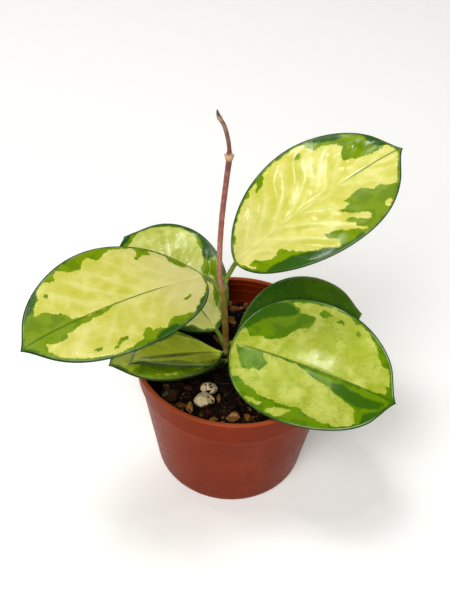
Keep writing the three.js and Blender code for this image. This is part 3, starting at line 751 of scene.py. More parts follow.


# Leaf finish: three colours of cream or lime between green patches, dark patches and rim, thin dark
# midrib, pale side veins and underside, light green stalk, and a pale line just inside the margin that is a
# painted highlight on the rounded edge; edge is the share of that painted highlight
leafFinishes = {
    "leafCream": {
        "pale": (226, 220, 120), "deep": (208, 204, 84), "lime": (186, 198, 48), "green": (122, 150, 0),
        "greenDeep": (106, 136, 0), "dark": (48, 88, 16), "rim": (30, 58, 16), "veinTint": (238, 236, 158),
        "limeShare": 0.45, "speck": 0.2, "vein": 0.5, "edge": 0.3,
    },
    # A darker copy of the cream finish for the back left leaf, standing in for the shade on it: painted shade
    "leafCreamShaded": {
        "pale": (208, 210, 116), "deep": (188, 194, 86), "lime": (168, 186, 60), "green": (114, 144, 0),
        "greenDeep": (98, 130, 0), "dark": (44, 80, 22), "rim": (30, 58, 16), "veinTint": (224, 226, 150),
        "limeShare": 0.5, "speck": 0.2, "vein": 0.5, "edge": 0.3,
    },
    "leafSpeckled": {
        "pale": (194, 200, 92), "deep": (170, 180, 54), "lime": (148, 168, 14), "green": (102, 138, 0),
        "greenDeep": (84, 122, 0), "dark": (56, 98, 4), "rim": (30, 58, 16), "veinTint": (226, 232, 140),
        "limeShare": 0.6, "speck": 0.8, "vein": 0.3, "edge": 0.7,
    },
    # The lime finish is lighter than the low leaves' own colour, to offset the shade that the leaf above
    # casts on them: painted light
    "leafLime": {
        "pale": (238, 244, 96), "deep": (216, 234, 30), "lime": (196, 226, 0), "green": (136, 168, 18),
        "greenDeep": (114, 148, 14), "dark": (92, 120, 38), "rim": (40, 64, 24), "veinTint": (206, 214, 104),
        "limeShare": 0.7, "speck": 0.4, "vein": 0.5, "edge": 0.3,
    },
    # The plain green leaf's rim colour is paler than its blade: a painted highlight along the edge
    "leafGreen": {
        "pale": (70, 104, 14), "deep": (60, 94, 10), "lime": (60, 94, 10), "green": (58, 94, 2),
        "greenDeep": (48, 84, 2), "dark": (46, 88, 4), "rim": (104, 122, 60), "veinTint": (70, 104, 14),
        "limeShare": 0.2, "speck": 0.0, "vein": 0.1, "edge": 0.2,
    },
}


def leafMaterial(name, finish):
    material, tree, shader = newMaterial(name, Coat_Weight=0.12, Coat_Roughness=0.16, Specular_IOR_Level=0.5)
    finish = {key: colour(*value) if isinstance(value, tuple) else value for key, value in finish.items()}
    place = objectPlace(tree)
    green, dark, line = fieldOf(tree, "leafField")
    matt, blush, margin = fieldOf(tree, "leafPlace")
    vein, under, stalk = fieldOf(tree, "leafPart")
    cloudy = mottled(tree, 110.0, 0.38, 0.66)
    blotchy = mottled(tree, 190.0, 0.46, 0.68)
    tint = mixColour(tree, cloudy, finish["deep"], finish["pale"])
    tint = mixColour(tree, times(tree, blotchy, finish["limeShare"]), tint, finish["lime"])
    # Beige blush near the base: partly the leaf's own tint, partly a painted soft reflection
    tint = mixColour(tree, blush, tint, colour(216, 206, 140))
    tint = mixColour(tree, times(tree, vein, finish["vein"]), tint, finish["veinTint"])
    specks = remap(tree, noiseOf(tree, place, 1300.0, 3.0, 0.7), 0.52, 0.65)
    where = mottled(tree, 140.0, 0.4, 0.62)
    specks = times(tree, times(tree, specks, where), finish["speck"])
    tint = mixColour(tree, specks, tint, finish["green"])
    layered = mottled(tree, 150.0, 0.47, 0.56)
    leafy = mixColour(tree, layered, finish["green"], finish["greenDeep"])
    greenMask = ragged(tree, green, 0.7, 0.45, 0.12)
    darkMask = ragged(tree, dark, 0.6, 0.3, 0.7)
    rimMask = ragged(tree, maths(tree, "SUBTRACT", 0.45, margin), 0.1, 0.05, 0.12)
    lineMask = ragged(tree, line, 0.05, 0.05, 0.1)
    tint = mixColour(tree, greenMask, tint, leafy)
    tint = mixColour(tree, darkMask, tint, finish["dark"])
    tint = mixColour(tree, times(tree, lineMask, 0.75), tint, finish["dark"])
    tint = mixColour(tree, rimMask, tint, finish["rim"])
    # Pale line just inside the margin: a painted highlight on the rounded edge
    inner = maths(tree, "ABSOLUTE", maths(tree, "SUBTRACT", margin, 0.85))
    broken = times(tree, mottled(tree, 60.0, 0.4, 0.6), finish["edge"])
    glint = times(tree, remap(tree, inner, 0.28, 0.08), broken)
    tint = mixColour(tree, glint, tint, colour(186, 206, 160))
    tint = mixColour(tree, under, tint, mixColour(tree, 0.55, tint, colour(176, 190, 118)))
    stalky = mixColour(tree, cloudy, colour(96, 114, 26), colour(128, 140, 48))
    stalky = mixColour(tree, specks, stalky, colour(110, 84, 40))
    tint = mixColour(tree, stalk, tint, stalky)
    waxy = mottled(tree, 420.0, 0.3, 0.7)
    gloss = maths(tree, "ADD", timesPlus(tree, waxy, 0.08, 0.11), matt)
    gloss = timesPlus(tree, under, 0.2, gloss)
    linkShader(tree, shader, tint, gloss, grained(tree, 700.0, 0.5), 0.00005, 0.6)
    return material


leafSlots = {
    "leaf_cream": "leafCream", "leaf_speckled": "leafSpeckled", "leaf_lime": "leafLime",
    "leaf_green": "leafGreen",
}
leafMaterials = {name: leafMaterial(name, finish) for name, finish in leafFinishes.items()}
for name, leaf in leafPlan.items():
    finish = leaf.get("finish", leafSlots[leaf["slot"]])
    addPiece(name, leafMesh(name, leaf), leafMaterials[finish], leaf["slot"], leaf["node"])
print("leaves made:", len(leafPlan))


# Stem: rings along its line whose radius swells at the nodes, with low ring scars, fine lengthwise
# wrinkles and a pointed tip
def stemSkin():
    arc = np.concatenate([[0], np.cumsum(np.linalg.norm(np.diff(stemLine, axis=0), axis=1))])
    share = np.linspace(0, arc[-1], stem["rows"])[:-1]
    line = np.stack([np.interp(share, arc, stemLine[:, k]) for k in range(3)], axis=-1)
    z = line[:, 2]
    radius = stem["radius"] + (stem["shootRadius"] - stem["radius"]) * ease(z, *stem["shootStart"])
    radius = radius + (stem["tipRadius"] - radius) * ease(z, *stem["tipStart"])
    for height, swell, length in stem["nodes"] + stem["scars"]:
        radius = radius + swell * np.exp(-((z - height) / length) ** 2)
    radius = radius * np.sqrt(np.clip((stemLine[-1, 2] - z) / stem["tipLength"], 0, 1))
    angle = fullTurn(stem["sides"])
    around = np.stack(np.broadcast_arrays(2 * np.cos(angle), 2 * np.sin(angle), z[:, None] / 14), axis=-1)
    woody = 1 - 0.65 * ease(z, 108, 120)[:, None]
    uneven = stem["wrinkle"] * woody * lumpiness(around, 0.7, 5)
    uneven = uneven + 0.05 * lumpiness(around * (1, 1, 8), 1.3, 9, 2)
    return tubeRings(line, radius[:, None] * (1 + uneven), stem["sides"]), line[0], stemLine[-1]


# Bud: a tube along its axis whose radius is a sine, fuller towards its foot and pointed at its far end
def budSkin(centre, radius, length, axis):
    t = np.linspace(0.03, 0.97, 18)
    axis = unit(np.array(axis, float))
    line = np.array(centre) + np.outer((t - 0.5) * length, axis)
    rings = tubeRings(line, radius * np.sin(np.pi * t) ** 0.8 * (1 - 0.5 * ease(t, 0.4, 1)), 20)
    return rings, centre - axis * length / 2, centre + axis * length / 2


# Stem finish: height in millimetres and the colour there, from the woody foot to the dark tip
stemTints = [
    (60, 82, 54, 32), (68, 118, 78, 38), (82, 130, 92, 36), (100, 122, 98, 28), (111, 132, 110, 26),
    (115.5, 140, 112, 44), (118.5, 166, 98, 92), (128, 184, 116, 104), (150, 160, 86, 80),
    (170, 138, 62, 58), (182.4, 118, 50, 48), (183.2, 198, 158, 120), (185.4, 206, 172, 130),
    (186.2, 120, 56, 50), (194, 118, 66, 58), (200, 126, 84, 72), (200.8, 176, 140, 112),
    (202.6, 150, 116, 92), (203.3, 74, 74, 62), (205, 52, 58, 50),
]


def stemMaterial():
    material, tree, shader = newMaterial("stemBark", Coat_Weight=0.12, Coat_Roughness=0.3)
    place = objectPlace(tree)
    wander = maths(tree, "SUBTRACT", noiseOf(tree, place, 420.0, 2.0), 0.5)
    height = timesPlus(tree, wander, 0.0035, separated(tree, place)["Z"])
    low, high = stemTints[0][0], stemTints[-1][0]
    share = remap(tree, height, low * mm, high * mm, "LINEAR")
    tint = rampOf(tree, share, [((z - low) / (high - low), *shade) for z, *shade in stemTints])
    streaks = noiseOf(tree, stretched(tree, place, 1, 1, 0.12), 1500.0, 3.0, 0.6)
    tint = mixColour(tree, times(tree, remap(tree, streaks, 0.45, 0.75), 0.35), tint, colour(84, 50, 38))
    cloudy = mottled(tree, 260.0, 0.45, 0.7)
    tint = mixColour(tree, times(tree, cloudy, 0.22), tint, colour(214, 190, 160))
    height = maths(tree, "ADD", grained(tree, 1800.0, 0.5), streaks)
    linkShader(tree, shader, tint, timesPlus(tree, streaks, 0.25, 0.35), height, 0.00008, 0.5)
    return material


stemSkins = [stemSkin()]
bare = stemPointAt(stem["buds"]["height"])
for way in (-1, 1):
    centre = bare + np.array([way * stem["buds"]["out"], 0, 0])
    stemSkins.append(budSkin(centre, stem["buds"]["radius"], stem["buds"]["length"], (0.35 * way, 0, 1)))
addPiece("vineStem", skinMesh("vineStem", stemSkins), stemMaterial(), "stem", "vine_stem")
print("stem made")


# Pot: thin moulded wall with a collar, two ribs and a rolled lip
pot = {
    "height": 76, "footRadius": 39, "footRound": 1.0, "wallTop": 47.1, "wall": 1.0, "floor": 1.2,
    "collarDepth": 15, "collarFoot": 47.9, "collarTop": 48.8, "step": 1.2, "beadHeight": 0.35,
    "lipRadius": 50, "lipDepth": 1.7, "lipRound": 0.55, "lipFillet": 0.25, "innerRound": 1.4,
    "ribs": (7.8, 3.4), "ribHeight": 0.04, "ribWidth": 0.4,
    "segments": 240, "arcPoints": 6, "holes": 6, "holeRadius": 3.5, "holeRing": 25,
}
collarBottom = pot["height"] - pot["collarDepth"]


# Outer radius at a height: the wall's taper, eased over the step to the collar's, with a bell for each rib
def potRadius(z):
    wall = pot["footRadius"] + (pot["wallTop"] - pot["footRadius"]) * z / collarBottom
    widening = (pot["collarTop"] - pot["collarFoot"]) * (z - collarBottom)
    collar = pot["collarFoot"] + widening / pot["collarDepth"]
    radius = wall + (collar - wall) * ease(z, collarBottom - pot["step"], collarBottom)
    for depth in pot["ribs"]:
        radius = radius + pot["ribHeight"] * np.exp(-((z - pot["height"] + depth) / pot["ribWidth"]) ** 2)
    return radius


# Quarter of a circle between two angles in degrees, as [radius, height] points
def arc(centreRadius, centreHeight, radius, start, end, count=pot["arcPoints"]):
    angle = np.radians(np.linspace(start, end, count))
    return np.stack([centreRadius + radius * np.cos(angle), centreHeight + radius * np.sin(angle)], axis=-1)


# The pot's section goes out along the underside, up the wall, over the lip, down the inside and in along
# the floor; every point of it becomes one ring
def potSkin():
    height, lipRound, fillet = pot["height"], pot["lipRound"], pot["lipFillet"]
    footRound, innerRound = pot["footRound"], pot["innerRound"]
    lipBottom = height - pot["lipDepth"]
    low = np.linspace(footRound, collarBottom - 1.2, 22)
    high = np.linspace(collarBottom - 1.0, lipBottom - 0.2, 62)
    outerHeights = np.concatenate([low, high])
    outer = np.stack([potRadius(outerHeights), outerHeights], axis=-1)
    innerHeights = np.concatenate([high[::-1] + 0.8, low[::-1][:-2]])
    innerHeights = innerHeights[innerHeights > 3]
    inner = np.stack([potRadius(innerHeights) - pot["wall"], innerHeights], axis=-1)
    depths = (*pot["ribs"], pot["collarDepth"])
    beads = sum(np.exp(-((inner[:, 1] - height + depth) / pot["ribWidth"]) ** 2) for depth in depths)
    inner[:, 0] -= (pot["ribHeight"] + pot["beadHeight"]) * beads
    lipInner = pot["collarTop"] - pot["wall"]
    footInner = potRadius(np.array(pot["floor"] + innerRound))[()] - pot["wall"]
    underside = np.stack([np.linspace(2, pot["footRadius"] - footRound - 0.2, 14), np.zeros(14)], axis=-1)
    floorTop = np.stack([np.linspace(footInner - 2, 2, 12), np.full(12, pot["floor"])], axis=-1)
    section = np.concatenate([
        underside,
        arc(pot["footRadius"] - footRound, footRound, footRound, -90, 0)[:-1],
        outer,
        arc(potRadius(lipBottom) + fillet, lipBottom - fillet, fillet, 180, 90, 4),
        arc(pot["lipRadius"] - lipRound, lipBottom + lipRound, lipRound, -90, 0),
        arc(pot["lipRadius"] - lipRound, height - lipRound, lipRound, 0, 90),
        arc(lipInner + lipRound, height - lipRound, lipRound, 90, 180),
        inner,
        arc(footInner - innerRound, pot["floor"] + innerRound, innerRound, 0, -90),
        floorTop,
    ])
    angle = fullTurn(pot["segments"])
    around = np.stack([np.cos(angle), np.sin(angle)], axis=-1)
    rings = np.concatenate([
        section[:, None, :1] * around, np.broadcast_to(section[:, None, 1:], (len(section), len(angle), 1)),
    ], axis=-1)
    inside, onBead = np.zeros(rings.shape[:2]), np.zeros(rings.shape[:2])
    after = len(floorTop) + pot["arcPoints"]
    inside[-len(inner) - after - 3:] = 1
    onBead[-len(inner) - after:-after] = np.clip(beads, 0, 1)[:, None]
    return (rings, (0, 0, 0), (0, 0, pot["floor"])), np.stack([inside, onBead, 0 * inside], axis=-1)


# Drain holes: round pegs through the floor, taken out of the pot
def drainPegs():
    pegs = []
    for turn in 2 * np.pi * np.arange(pot["holes"]) / pot["holes"]:
        x, y = pot["holeRing"] * math.cos(turn), pot["holeRing"] * math.sin(turn)
        line = np.array([(x, y, z) for z in (-2.0, -1.0, 1.5, 3.5)])
        pegs.append((tubeRings(line, np.full(4, pot["holeRadius"]), 40), line[0], line[-1]))
    mesh = skinMesh("drainPegs", pegs)
    mesh.polygons.foreach_set("use_smooth", np.zeros(len(mesh.polygons), bool))
    return mesh


def potMaterial():
    material, tree, shader = newMaterial(
        "terracottaPlastic", Coat_Weight=0.06, Coat_Roughness=0.18, Specular_IOR_Level=0.03)
    place = objectPlace(tree)
    cloudy = mottled(tree, 45.0, 0.35, 0.65)
    tint = mixColour(tree, cloudy, colour(118, 37, 4), colour(125, 41, 6))
    flow = noiseOf(tree, stretched(tree, place, 1, 1, 0.15), 130.0, 3.0, 0.6)
    tint = mixColour(tree, times(tree, remap(tree, flow, 0.5, 0.75), 0.08), tint, colour(186, 96, 62))
    # Lighter top of the lip: a painted highlight where the rounded lip catches the light
    lipHighlight = remap(tree, separated(tree, place)["Z"], (pot["height"] - 0.9) * mm, (pot["height"] - 0.1) * mm)
    tint = mixColour(tree, times(tree, lipHighlight, 0.3), tint, colour(206, 110, 70))
    specks = remap(tree, noiseOf(tree, place, 620.0, 1.0, 0.4), 0.765, 0.785)
    tint = mixColour(tree, specks, tint, colour(60, 36, 22))
    # The inner wall is darker than the outside: painted shade; the beads on it are lighter: painted
    # highlights
    inside, onBead, _ = fieldOf(tree, "innerWall")
    tint = mixColour(tree, inside, tint, mixColour(tree, onBead, colour(92, 24, 8), colour(172, 62, 26)))
    gloss = timesPlus(tree, mottled(tree, 240.0, 0.4, 0.75), 0.12, 0.34)
    gloss = timesPlus(tree, specks, 0.4, gloss)
    height = maths(tree, "ADD", grained(tree, 700.0, 0.3), specks)
    linkShader(tree, shader, tint, gloss, height, 0.00005, 0.35)
    return material


pegs = newObject("drainPegs", drainPegs())
shell, innerWall = potSkin()
potPiece = newObject("nurseryPotShell", skinMesh("nurseryPotShell", [shell], {"innerWall": [innerWall]}))
cut = potPiece.modifiers.new("drainHoles", "BOOLEAN")
cut.operation, cut.solver, cut.object = "DIFFERENCE", "EXACT", pegs
bpy.context.view_layer.update()
holed = bpy.data.meshes.new_from_object(potPiece.evaluated_get(bpy.context.evaluated_depsgraph_get()))
bpy.data.objects.remove(potPiece)
bpy.data.objects.remove(pegs)
holed.name = "nurseryPot"
holed.set_sharp_from_angle(angle=math.radians(50))
addPiece("nurseryPot", holed, potMaterial(), "pot_plastic", "pot")
print("pot made:", len(holed.polygons), "faces")


# Potting mix: a lumpy bed that fills the pot up to its collar, with loose crumbs and fine fibres on it
mix = {
    "top": 61, "crown": 1.5, "reach": 47.1, "bottom": 1.5, "brim": 59.8, "gap": 0.3, "rings": 160,
    "sides": 440, "lump": 1.3, "lumpCell": 4.5, "grit": 0.6, "gritCell": 1.5, "seed": 12,
    "crumbs": 1900, "crumbSizes": (0.4, 1.9), "crumbPower": 2.2, "crumbReach": 45.8, "stemGap": 3,
    "fibres": 120, "fibreLengths": (3, 10), "fibreRadii": (0.09, 0.2), "fibreSides": 5, "fibreRows": 8,
}


# Height of the mix in the plan: a low crown with waves that die out towards the wall
def mixTop(x, y):
    out = np.clip(np.hypot(x, y) / mix["reach"], 0, 1)
    wave = 0.6 * (np.sin(0.43 * x + 1) * np.cos(0.37 * y) + 0.5 * np.sin(0.9 * y + 0.4 * x))
    return mix["top"] + mix["crown"] * (1 - out ** 2) + wave * (1 - out ** 6)


# The same with its lumps and grit, which only sink near the wall
def mixSurface(x, y):
    place = onPlane(x, y)
    lumps = mix["lump"] * (0.35 - np.abs(lumpiness(place, mix["lumpCell"], mix["seed"], 2)))
    grit = mix["grit"] * lumpiness(place, mix["gritCell"], mix["seed"] + 5, 2)
    return mixTop(x, y) + lumps + grit


# The bed's section goes out along the pot's floor, up beside its wall and in along the top
def mixSkin():
    angle = fullTurn(mix["sides"])
    clear = pot["wall"] + mix["gap"]
    heights = np.linspace(mix["bottom"] + 1.7, mix["brim"], 14)
    under = np.linspace(2, potRadius(mix["bottom"]) - clear - 1.8, 8)
    sides = potRadius(heights) - clear
    over = sides[-1] * (1 - np.linspace(0.004, 0.985, mix["rings"]))
    radius = np.concatenate([under, sides, over])[:, None]
    x, y = radius * np.cos(angle), radius * np.sin(angle)
    z = np.concatenate([np.full(len(under), mix["bottom"]), heights, over * 0])[:, None] + 0 * x
    top = mixSurface(x[-len(over):], y[-len(over):])
    nearWall = ease(over[:, None], sides[-1] - 1.2, sides[-1])
    z[-len(over):] = top + (mix["brim"] - top) * nearWall
    rings = np.stack([x, y, z], axis=-1)
    return rings, (0, 0, mix["bottom"]), rings[-1].mean(axis=0)


# Stones and chips lie on the mix, sunk in it so that their middles are 0.3 of their half-heights above it,
# or higher by their lift. Each chip is its place, half-axes, turn in degrees and kind of bark.
# Each stone's painted shading is a colour on the side that faces its given way: painted shade on the pumices'
# lower front, a painted highlight on the grey stone's top
stones = {
    "pumiceLarge": {
        "node": "pumice_large", "slot": "pumice", "at": (-13.6, -26.4), "half": (4.9, 4.3, 4.0), "turn": 20,
        "lift": 2.2, "pits": 16, "rough": 0.03, "paintedShadingWay": (0.1, -0.75, -0.65), "paintedShading": (0.45, 0.7)},
    "pumiceSmall": {
        "node": "pumice_small", "slot": "pumice", "at": (-11.6, -18.2), "half": (4.3, 3.3, 3.1), "turn": -15,
        "lift": 0.6, "pits": 70, "rough": 0.03, "paintedShadingWay": (0.1, -0.75, -0.65), "paintedShading": (0.6, 0.85)},
    "greyStone": {
        "node": "grey_stone", "slot": "grey_stone", "at": (-29.9, -22.8), "half": (4.7, 4.2, 3.4), "turn": 30,
        "lift": 0, "pits": 14, "rough": 0.3, "paintedShadingWay": (-0.5, 0.35, 0.8), "paintedShading": (0.85, 1.15)},
}
chips = [dict(zip(("at", "half", "turn", "bark"), row)) for row in (
    ((-24.4, -28.2), (2.3, 2.6, 1.8), 50, "brown"),
    ((-20.3, -29.4), (2.1, 3.3, 2.2), 200, "tan"),
    ((-22, -16.3), (2.4, 1.7, 1.3), 10, "red"),
    ((-9, -35.4), (2.9, 1.6, 1.4), 10, "tan"),
    ((0.3, -34.3), (3.3, 3.1, 2.6), -20, "tan"),
    ((7.1, -33.5), (2.1, 2.7, 2.8), 15, "brown"),
    ((-0.3, 39.6), (4, 2.4, 2.2), 20, "brown"),
    ((-1.6, 31), (3.3, 2.5, 2.0), -40, "tan"),
    ((6.5, 34), (2.7, 3.2, 2.1), 25, "tan"),
    ((18, 30), (3.2, 2.3, 1.6), 70, "dull"),
    ((31, 17), (2.7, 2.1, 1.5), 5, "brown"),
    ((34, -9), (2.9, 2, 1.6), -55, "tan"),
    ((-12, -31.4), (3.4, 2.2, 1.9), -10, "red"),
    ((-6.9, -23.4), (1.2, 2.6, 1.2), -10, "brown"),
    ((-35, 6), (2.3, 2.8, 1.5), -10, "brown"),
)]
stoneForm = {"rows": 110, "sides": 150, "chipRows": 46, "chipSides": 64, "out": 0.3}
pebbleCut = {"faces": 9, "reaches": (0.72, 1.0), "sharpness": 30}
chipCut = {"faces": 6, "reaches": (0.4, 0.8), "sharpness": 60, "taper": 0.55}


# Directions over a ball in rings from its left pole to its right one
def ballDirections(rows, sides):
    rise = np.linspace(-np.pi / 2, np.pi / 2, rows + 2)[1:-1, None]
    turn = fullTurn(sides)
    flat = np.cos(rise)
    return np.stack([np.sin(rise) + 0 * turn, flat * np.cos(turn), flat * np.sin(turn)], axis=-1)


# A unit shape stretched to its half-axes, turned about the vertical and laid on the mix
def laidOnMix(stone, rings):
    turn = math.radians(stone["turn"])
    spin = np.array([[math.cos(turn), math.sin(turn), 0], [-math.sin(turn), math.cos(turn), 0], [0, 0, 1]])
    x, y = stone["at"]
    middle = np.array([x, y, mixTop(x, y) + stoneForm["out"] * stone["half"][2] + stone.get("lift", 0)])
    points = (rings * stone["half"]) @ spin + middle
    return points, points[0].mean(axis=0), points[-1].mean(axis=0)


# Radius along each direction of a lump cut by random flat faces: the softened minimum of the ways to them
def cutRadius(ways, luck, cut):
    normals = unit(luck.normal(size=(cut["faces"], 3)))
    normals = np.concatenate([normals, -normals[:5]])
    closeness = np.clip(ways @ normals.T, 0, 1) / luck.uniform(*cut["reaches"], len(normals))
    return ((closeness ** cut["sharpness"]).sum(axis=-1) + 0.6) ** (-1 / cut["sharpness"])


# Stone: a lump with worn faces and two sizes of noise, and pits whose depth falls away from their centres.
# The share of another colour on the side that faces one way is painted light: shade on the pumices' lower
# front, a highlight on the grey stone's top.
def stoneSkin(stone, seed):
    ways = ballDirections(stoneForm["rows"], stoneForm["sides"])
    luck = np.random.default_rng(seed)
    worn = cutRadius(ways, luck, pebbleCut)
    centres = unit(luck.normal(size=(stone["pits"], 3)))
    sizes = luck.uniform(0.1, 0.24, stone["pits"]) * luck.uniform(0.6, 1.0, stone["pits"])
    bent = ways + 0.06 * lumpiness(ways, 0.25, seed + 3, 2)[..., None]
    pit = np.zeros(ways.shape[:2])
    for centre, size in zip(centres, sizes):
        away = np.linalg.norm(bent - centre, axis=-1) / size
        pit = np.maximum(pit, np.clip(1 - away ** 2, 0, 1) * (0.4 + 3 * size))
    radius = worn + 0.06 * lumpiness(ways, 0.8, seed, 2) + 0.03 * lumpiness(ways, 0.2, seed + 1, 2)
    radius = radius - 0.16 * pit + stone["rough"] * lumpiness(ways, 0.4, seed + 4, 3)
    # Painted light: shade on the pumices' lower front, a highlight on the grey stone's top
    facing = ways @ unit(np.array(stone["paintedShadingWay"], float)) + 0.25 * lumpiness(ways, 0.35, seed + 5, 2)
    paintedShading = ease(facing, *stone["paintedShading"])
    rings = ways * np.minimum(radius, 1.02)[..., None]
    return laidOnMix(stone, rings), np.stack([pit, paintedShading, 0 * pit], axis=-1)


# Chip: cut by fewer, sharper faces, with thin layers across it
def chipSkin(chip, seed):
    ways = ballDirections(stoneForm["chipRows"], stoneForm["chipSides"])
    luck = np.random.default_rng(seed)
    radius = cutRadius(ways, luck, chipCut)
    slope = unit(luck.normal(size=3) + (0, 0, 2))
    layer = (ways * radius[..., None]) @ slope
    radius = radius + 0.04 * lumpiness(onPlane(layer, 0.2 * ways[..., 0]), 0.16, seed, 2)
    radius = radius + 0.03 * lumpiness(ways, 0.35, seed + 2, 2)
    shape = ways * np.clip(radius, 0.4, 1.0)[..., None]
    shape = shape * (1 - chipCut["taper"] * (0.5 + 0.5 * ways[..., 1:2]) * (1, 0, 1))
    return laidOnMix(chip, shape / np.abs(shape).max(axis=(0, 1)))


# Twig: a short tube between two points with a slight bend and two knots
twig = {
    "start": (-2.9, 6.2, 63), "end": (-10.7, 16.4, 64.7), "radius": 1.0, "bend": 0.5, "knots": (0.3, 0.72),
    "knotHeight": 0.22, "rows": 90, "sides": 32, "cap": 0.5,
}


def twigSkin():
    start, end = np.array(twig["start"]), np.array(twig["end"])
    t = np.linspace(0.004, 0.996, twig["rows"])
    line = start + np.outer(t, end - start) + np.outer(np.sin(np.pi * t) * twig["bend"], (0.6, 0.5, 0.3))
    length = np.linalg.norm(end - start)
    fromEnd = np.minimum(t, 1 - t) * length / twig["cap"]
    radius = twig["radius"] * np.sqrt(1 - (1 - np.clip(fromEnd, 0, 1)) ** 2 * 0.75)
    for knot in twig["knots"]:
        radius = radius + twig["knotHeight"] * np.exp(-((t - knot) * length / 0.9) ** 2)
    angle = fullTurn(twig["sides"])
    around = np.stack(np.broadcast_arrays(np.cos(angle), np.sin(angle), t[:, None] * length / 3), axis=-1)
    radius = radius[:, None] * (1 + 0.09 * lumpiness(around, 0.5, 31))
    return tubeRings(line, radius, twig["sides"], (0, 0, 1)), line[0], line[-1]


# Crumbs: balls of 42 points with uneven radii, stretched and turned at random, scattered on the mix
def crumbMesh():
    ball = bmesh.new()
    bmesh.ops.create_icosphere(ball, subdivisions=2, radius=1.0)
    shape = np.array([point.co for point in ball.verts])
    faces = np.array([[corner.index for corner in face.verts] for face in ball.faces])
    ball.free()
    luck = np.random.default_rng(mix["seed"])
    count = mix["crumbs"]
    turn, out = luck.uniform(0, 2 * np.pi, count), mix["crumbReach"] * np.sqrt(luck.uniform(0, 1, count))
    x, y = out * np.cos(turn), out * np.sin(turn)
    small, large = mix["crumbSizes"]
    size = small + (large - small) * luck.uniform(0, 1, count) ** mix["crumbPower"]
    free = np.hypot(x - stemLine[0, 0], y) > mix["stemGap"]
    for stone in [*stones.values(), *chips]:
        apart = np.hypot(x - stone["at"][0], y - stone["at"][1])
        free &= apart > 0.75 * max(stone["half"][:2]) + 0.5 * size
    x, y, size = x[free], y[free], size[free]
    x, y = (a * np.minimum(1, (mix["crumbReach"] - size) / np.hypot(x, y)) for a in (x, y))
    along = unit(luck.normal(size=(len(x), 3)))
    side = unit(np.cross(along, luck.normal(size=(len(x), 3))))
    frames = np.stack([along, side, np.cross(along, side)], axis=1)
    uneven = luck.uniform(0.72, 1.2, (len(x), len(shape), 1)) * luck.uniform(0.6, 1.15, (len(x), 1, 3))
    points = np.einsum("npk,nkj->npj", shape * uneven, frames) * size[:, None, None]
    z = mixSurface(x, y) + size * luck.uniform(-0.25, 0.45, len(x))
    points += np.stack([x, y, z], axis=-1)[:, None]
    bright = 0.5 + 0.8 * ease(latticeNoise(onPlane(x, y), 15, mix["seed"] + 9), 0.3, 0.8)
    bright *= 0.66 + 0.4 * ease(np.hypot(x, y), 24, 38)
    shade = np.repeat(np.clip(luck.uniform(0, 1, len(x)) * bright, 0, 1), len(shape))
    triangles = faces + (np.arange(len(x)) * len(shape))[:, None, None]
    mesh = meshOf("mixCrumbs", points.reshape(-1, 3), [], triangles.reshape(-1, 3))
    mesh.polygons.foreach_set("use_smooth", np.zeros(len(mesh.polygons), bool))
    addField(mesh, "crumbShade", np.stack([shade, shade * 0, shade * 0], axis=-1))
    return mesh


# Fibres: thin tubes that wander over the mix and arch a little above it
def fibreSkins():
    luck = np.random.default_rng(mix["seed"] + 1)
    skins = []
    t = np.linspace(0, 1, mix["fibreRows"])
    for _ in range(mix["fibres"]):
        length, radius = luck.uniform(*mix["fibreLengths"]), luck.uniform(*mix["fibreRadii"])
        turn, out = luck.uniform(0, 2 * np.pi), (mix["crumbReach"] - 6) * math.sqrt(luck.uniform())
        heading, swing = luck.uniform(0, 2 * np.pi), luck.uniform(-1.6, 1.6)
        way = heading + swing * t
        x = out * math.cos(turn) + (t - 0.5) * length * np.cos(way)
        y = out * math.sin(turn) + (t - 0.5) * length * np.sin(way)
        inwards = np.minimum(1, (mix["crumbReach"] - 0.5) / np.hypot(x, y))
        x, y = x * inwards, y * inwards
        z = mixTop(x, y) + 0.15 + luck.uniform(0.2, 1.1) * np.sin(np.pi * t)
        line = np.stack([x, y, z], axis=-1)
        slim = radius * np.clip(np.minimum(t, 1 - t) * 6, 0.25, 1)
        skins.append((tubeRings(line, slim, mix["fibreSides"], (0.1, 0.2, 1)), line[0], line[-1]))
    return skins


# Mix finish: near-black peat with brown fragments; crumbs and fibres are lighter by their own shade
def mixMaterial(name, stops, attribute=None):
    material, tree, shader = newMaterial(name, Specular_IOR_Level=0.3)
    place = objectPlace(tree)
    value = noiseOf(tree, place, 700.0, 3.0, 0.6)
    if attribute:
        value = timesPlus(tree, maths(tree, "SUBTRACT", value, 0.5), 0.5, fieldOf(tree, attribute)[0])
    damp = timesPlus(tree, mottled(tree, 300.0, 0.4, 0.7), -0.3, 0.85)
    linkShader(tree, shader, rampOf(tree, value, stops), damp, grained(tree, 1500.0, 0.6), 0.0004, 0.8)
    return material


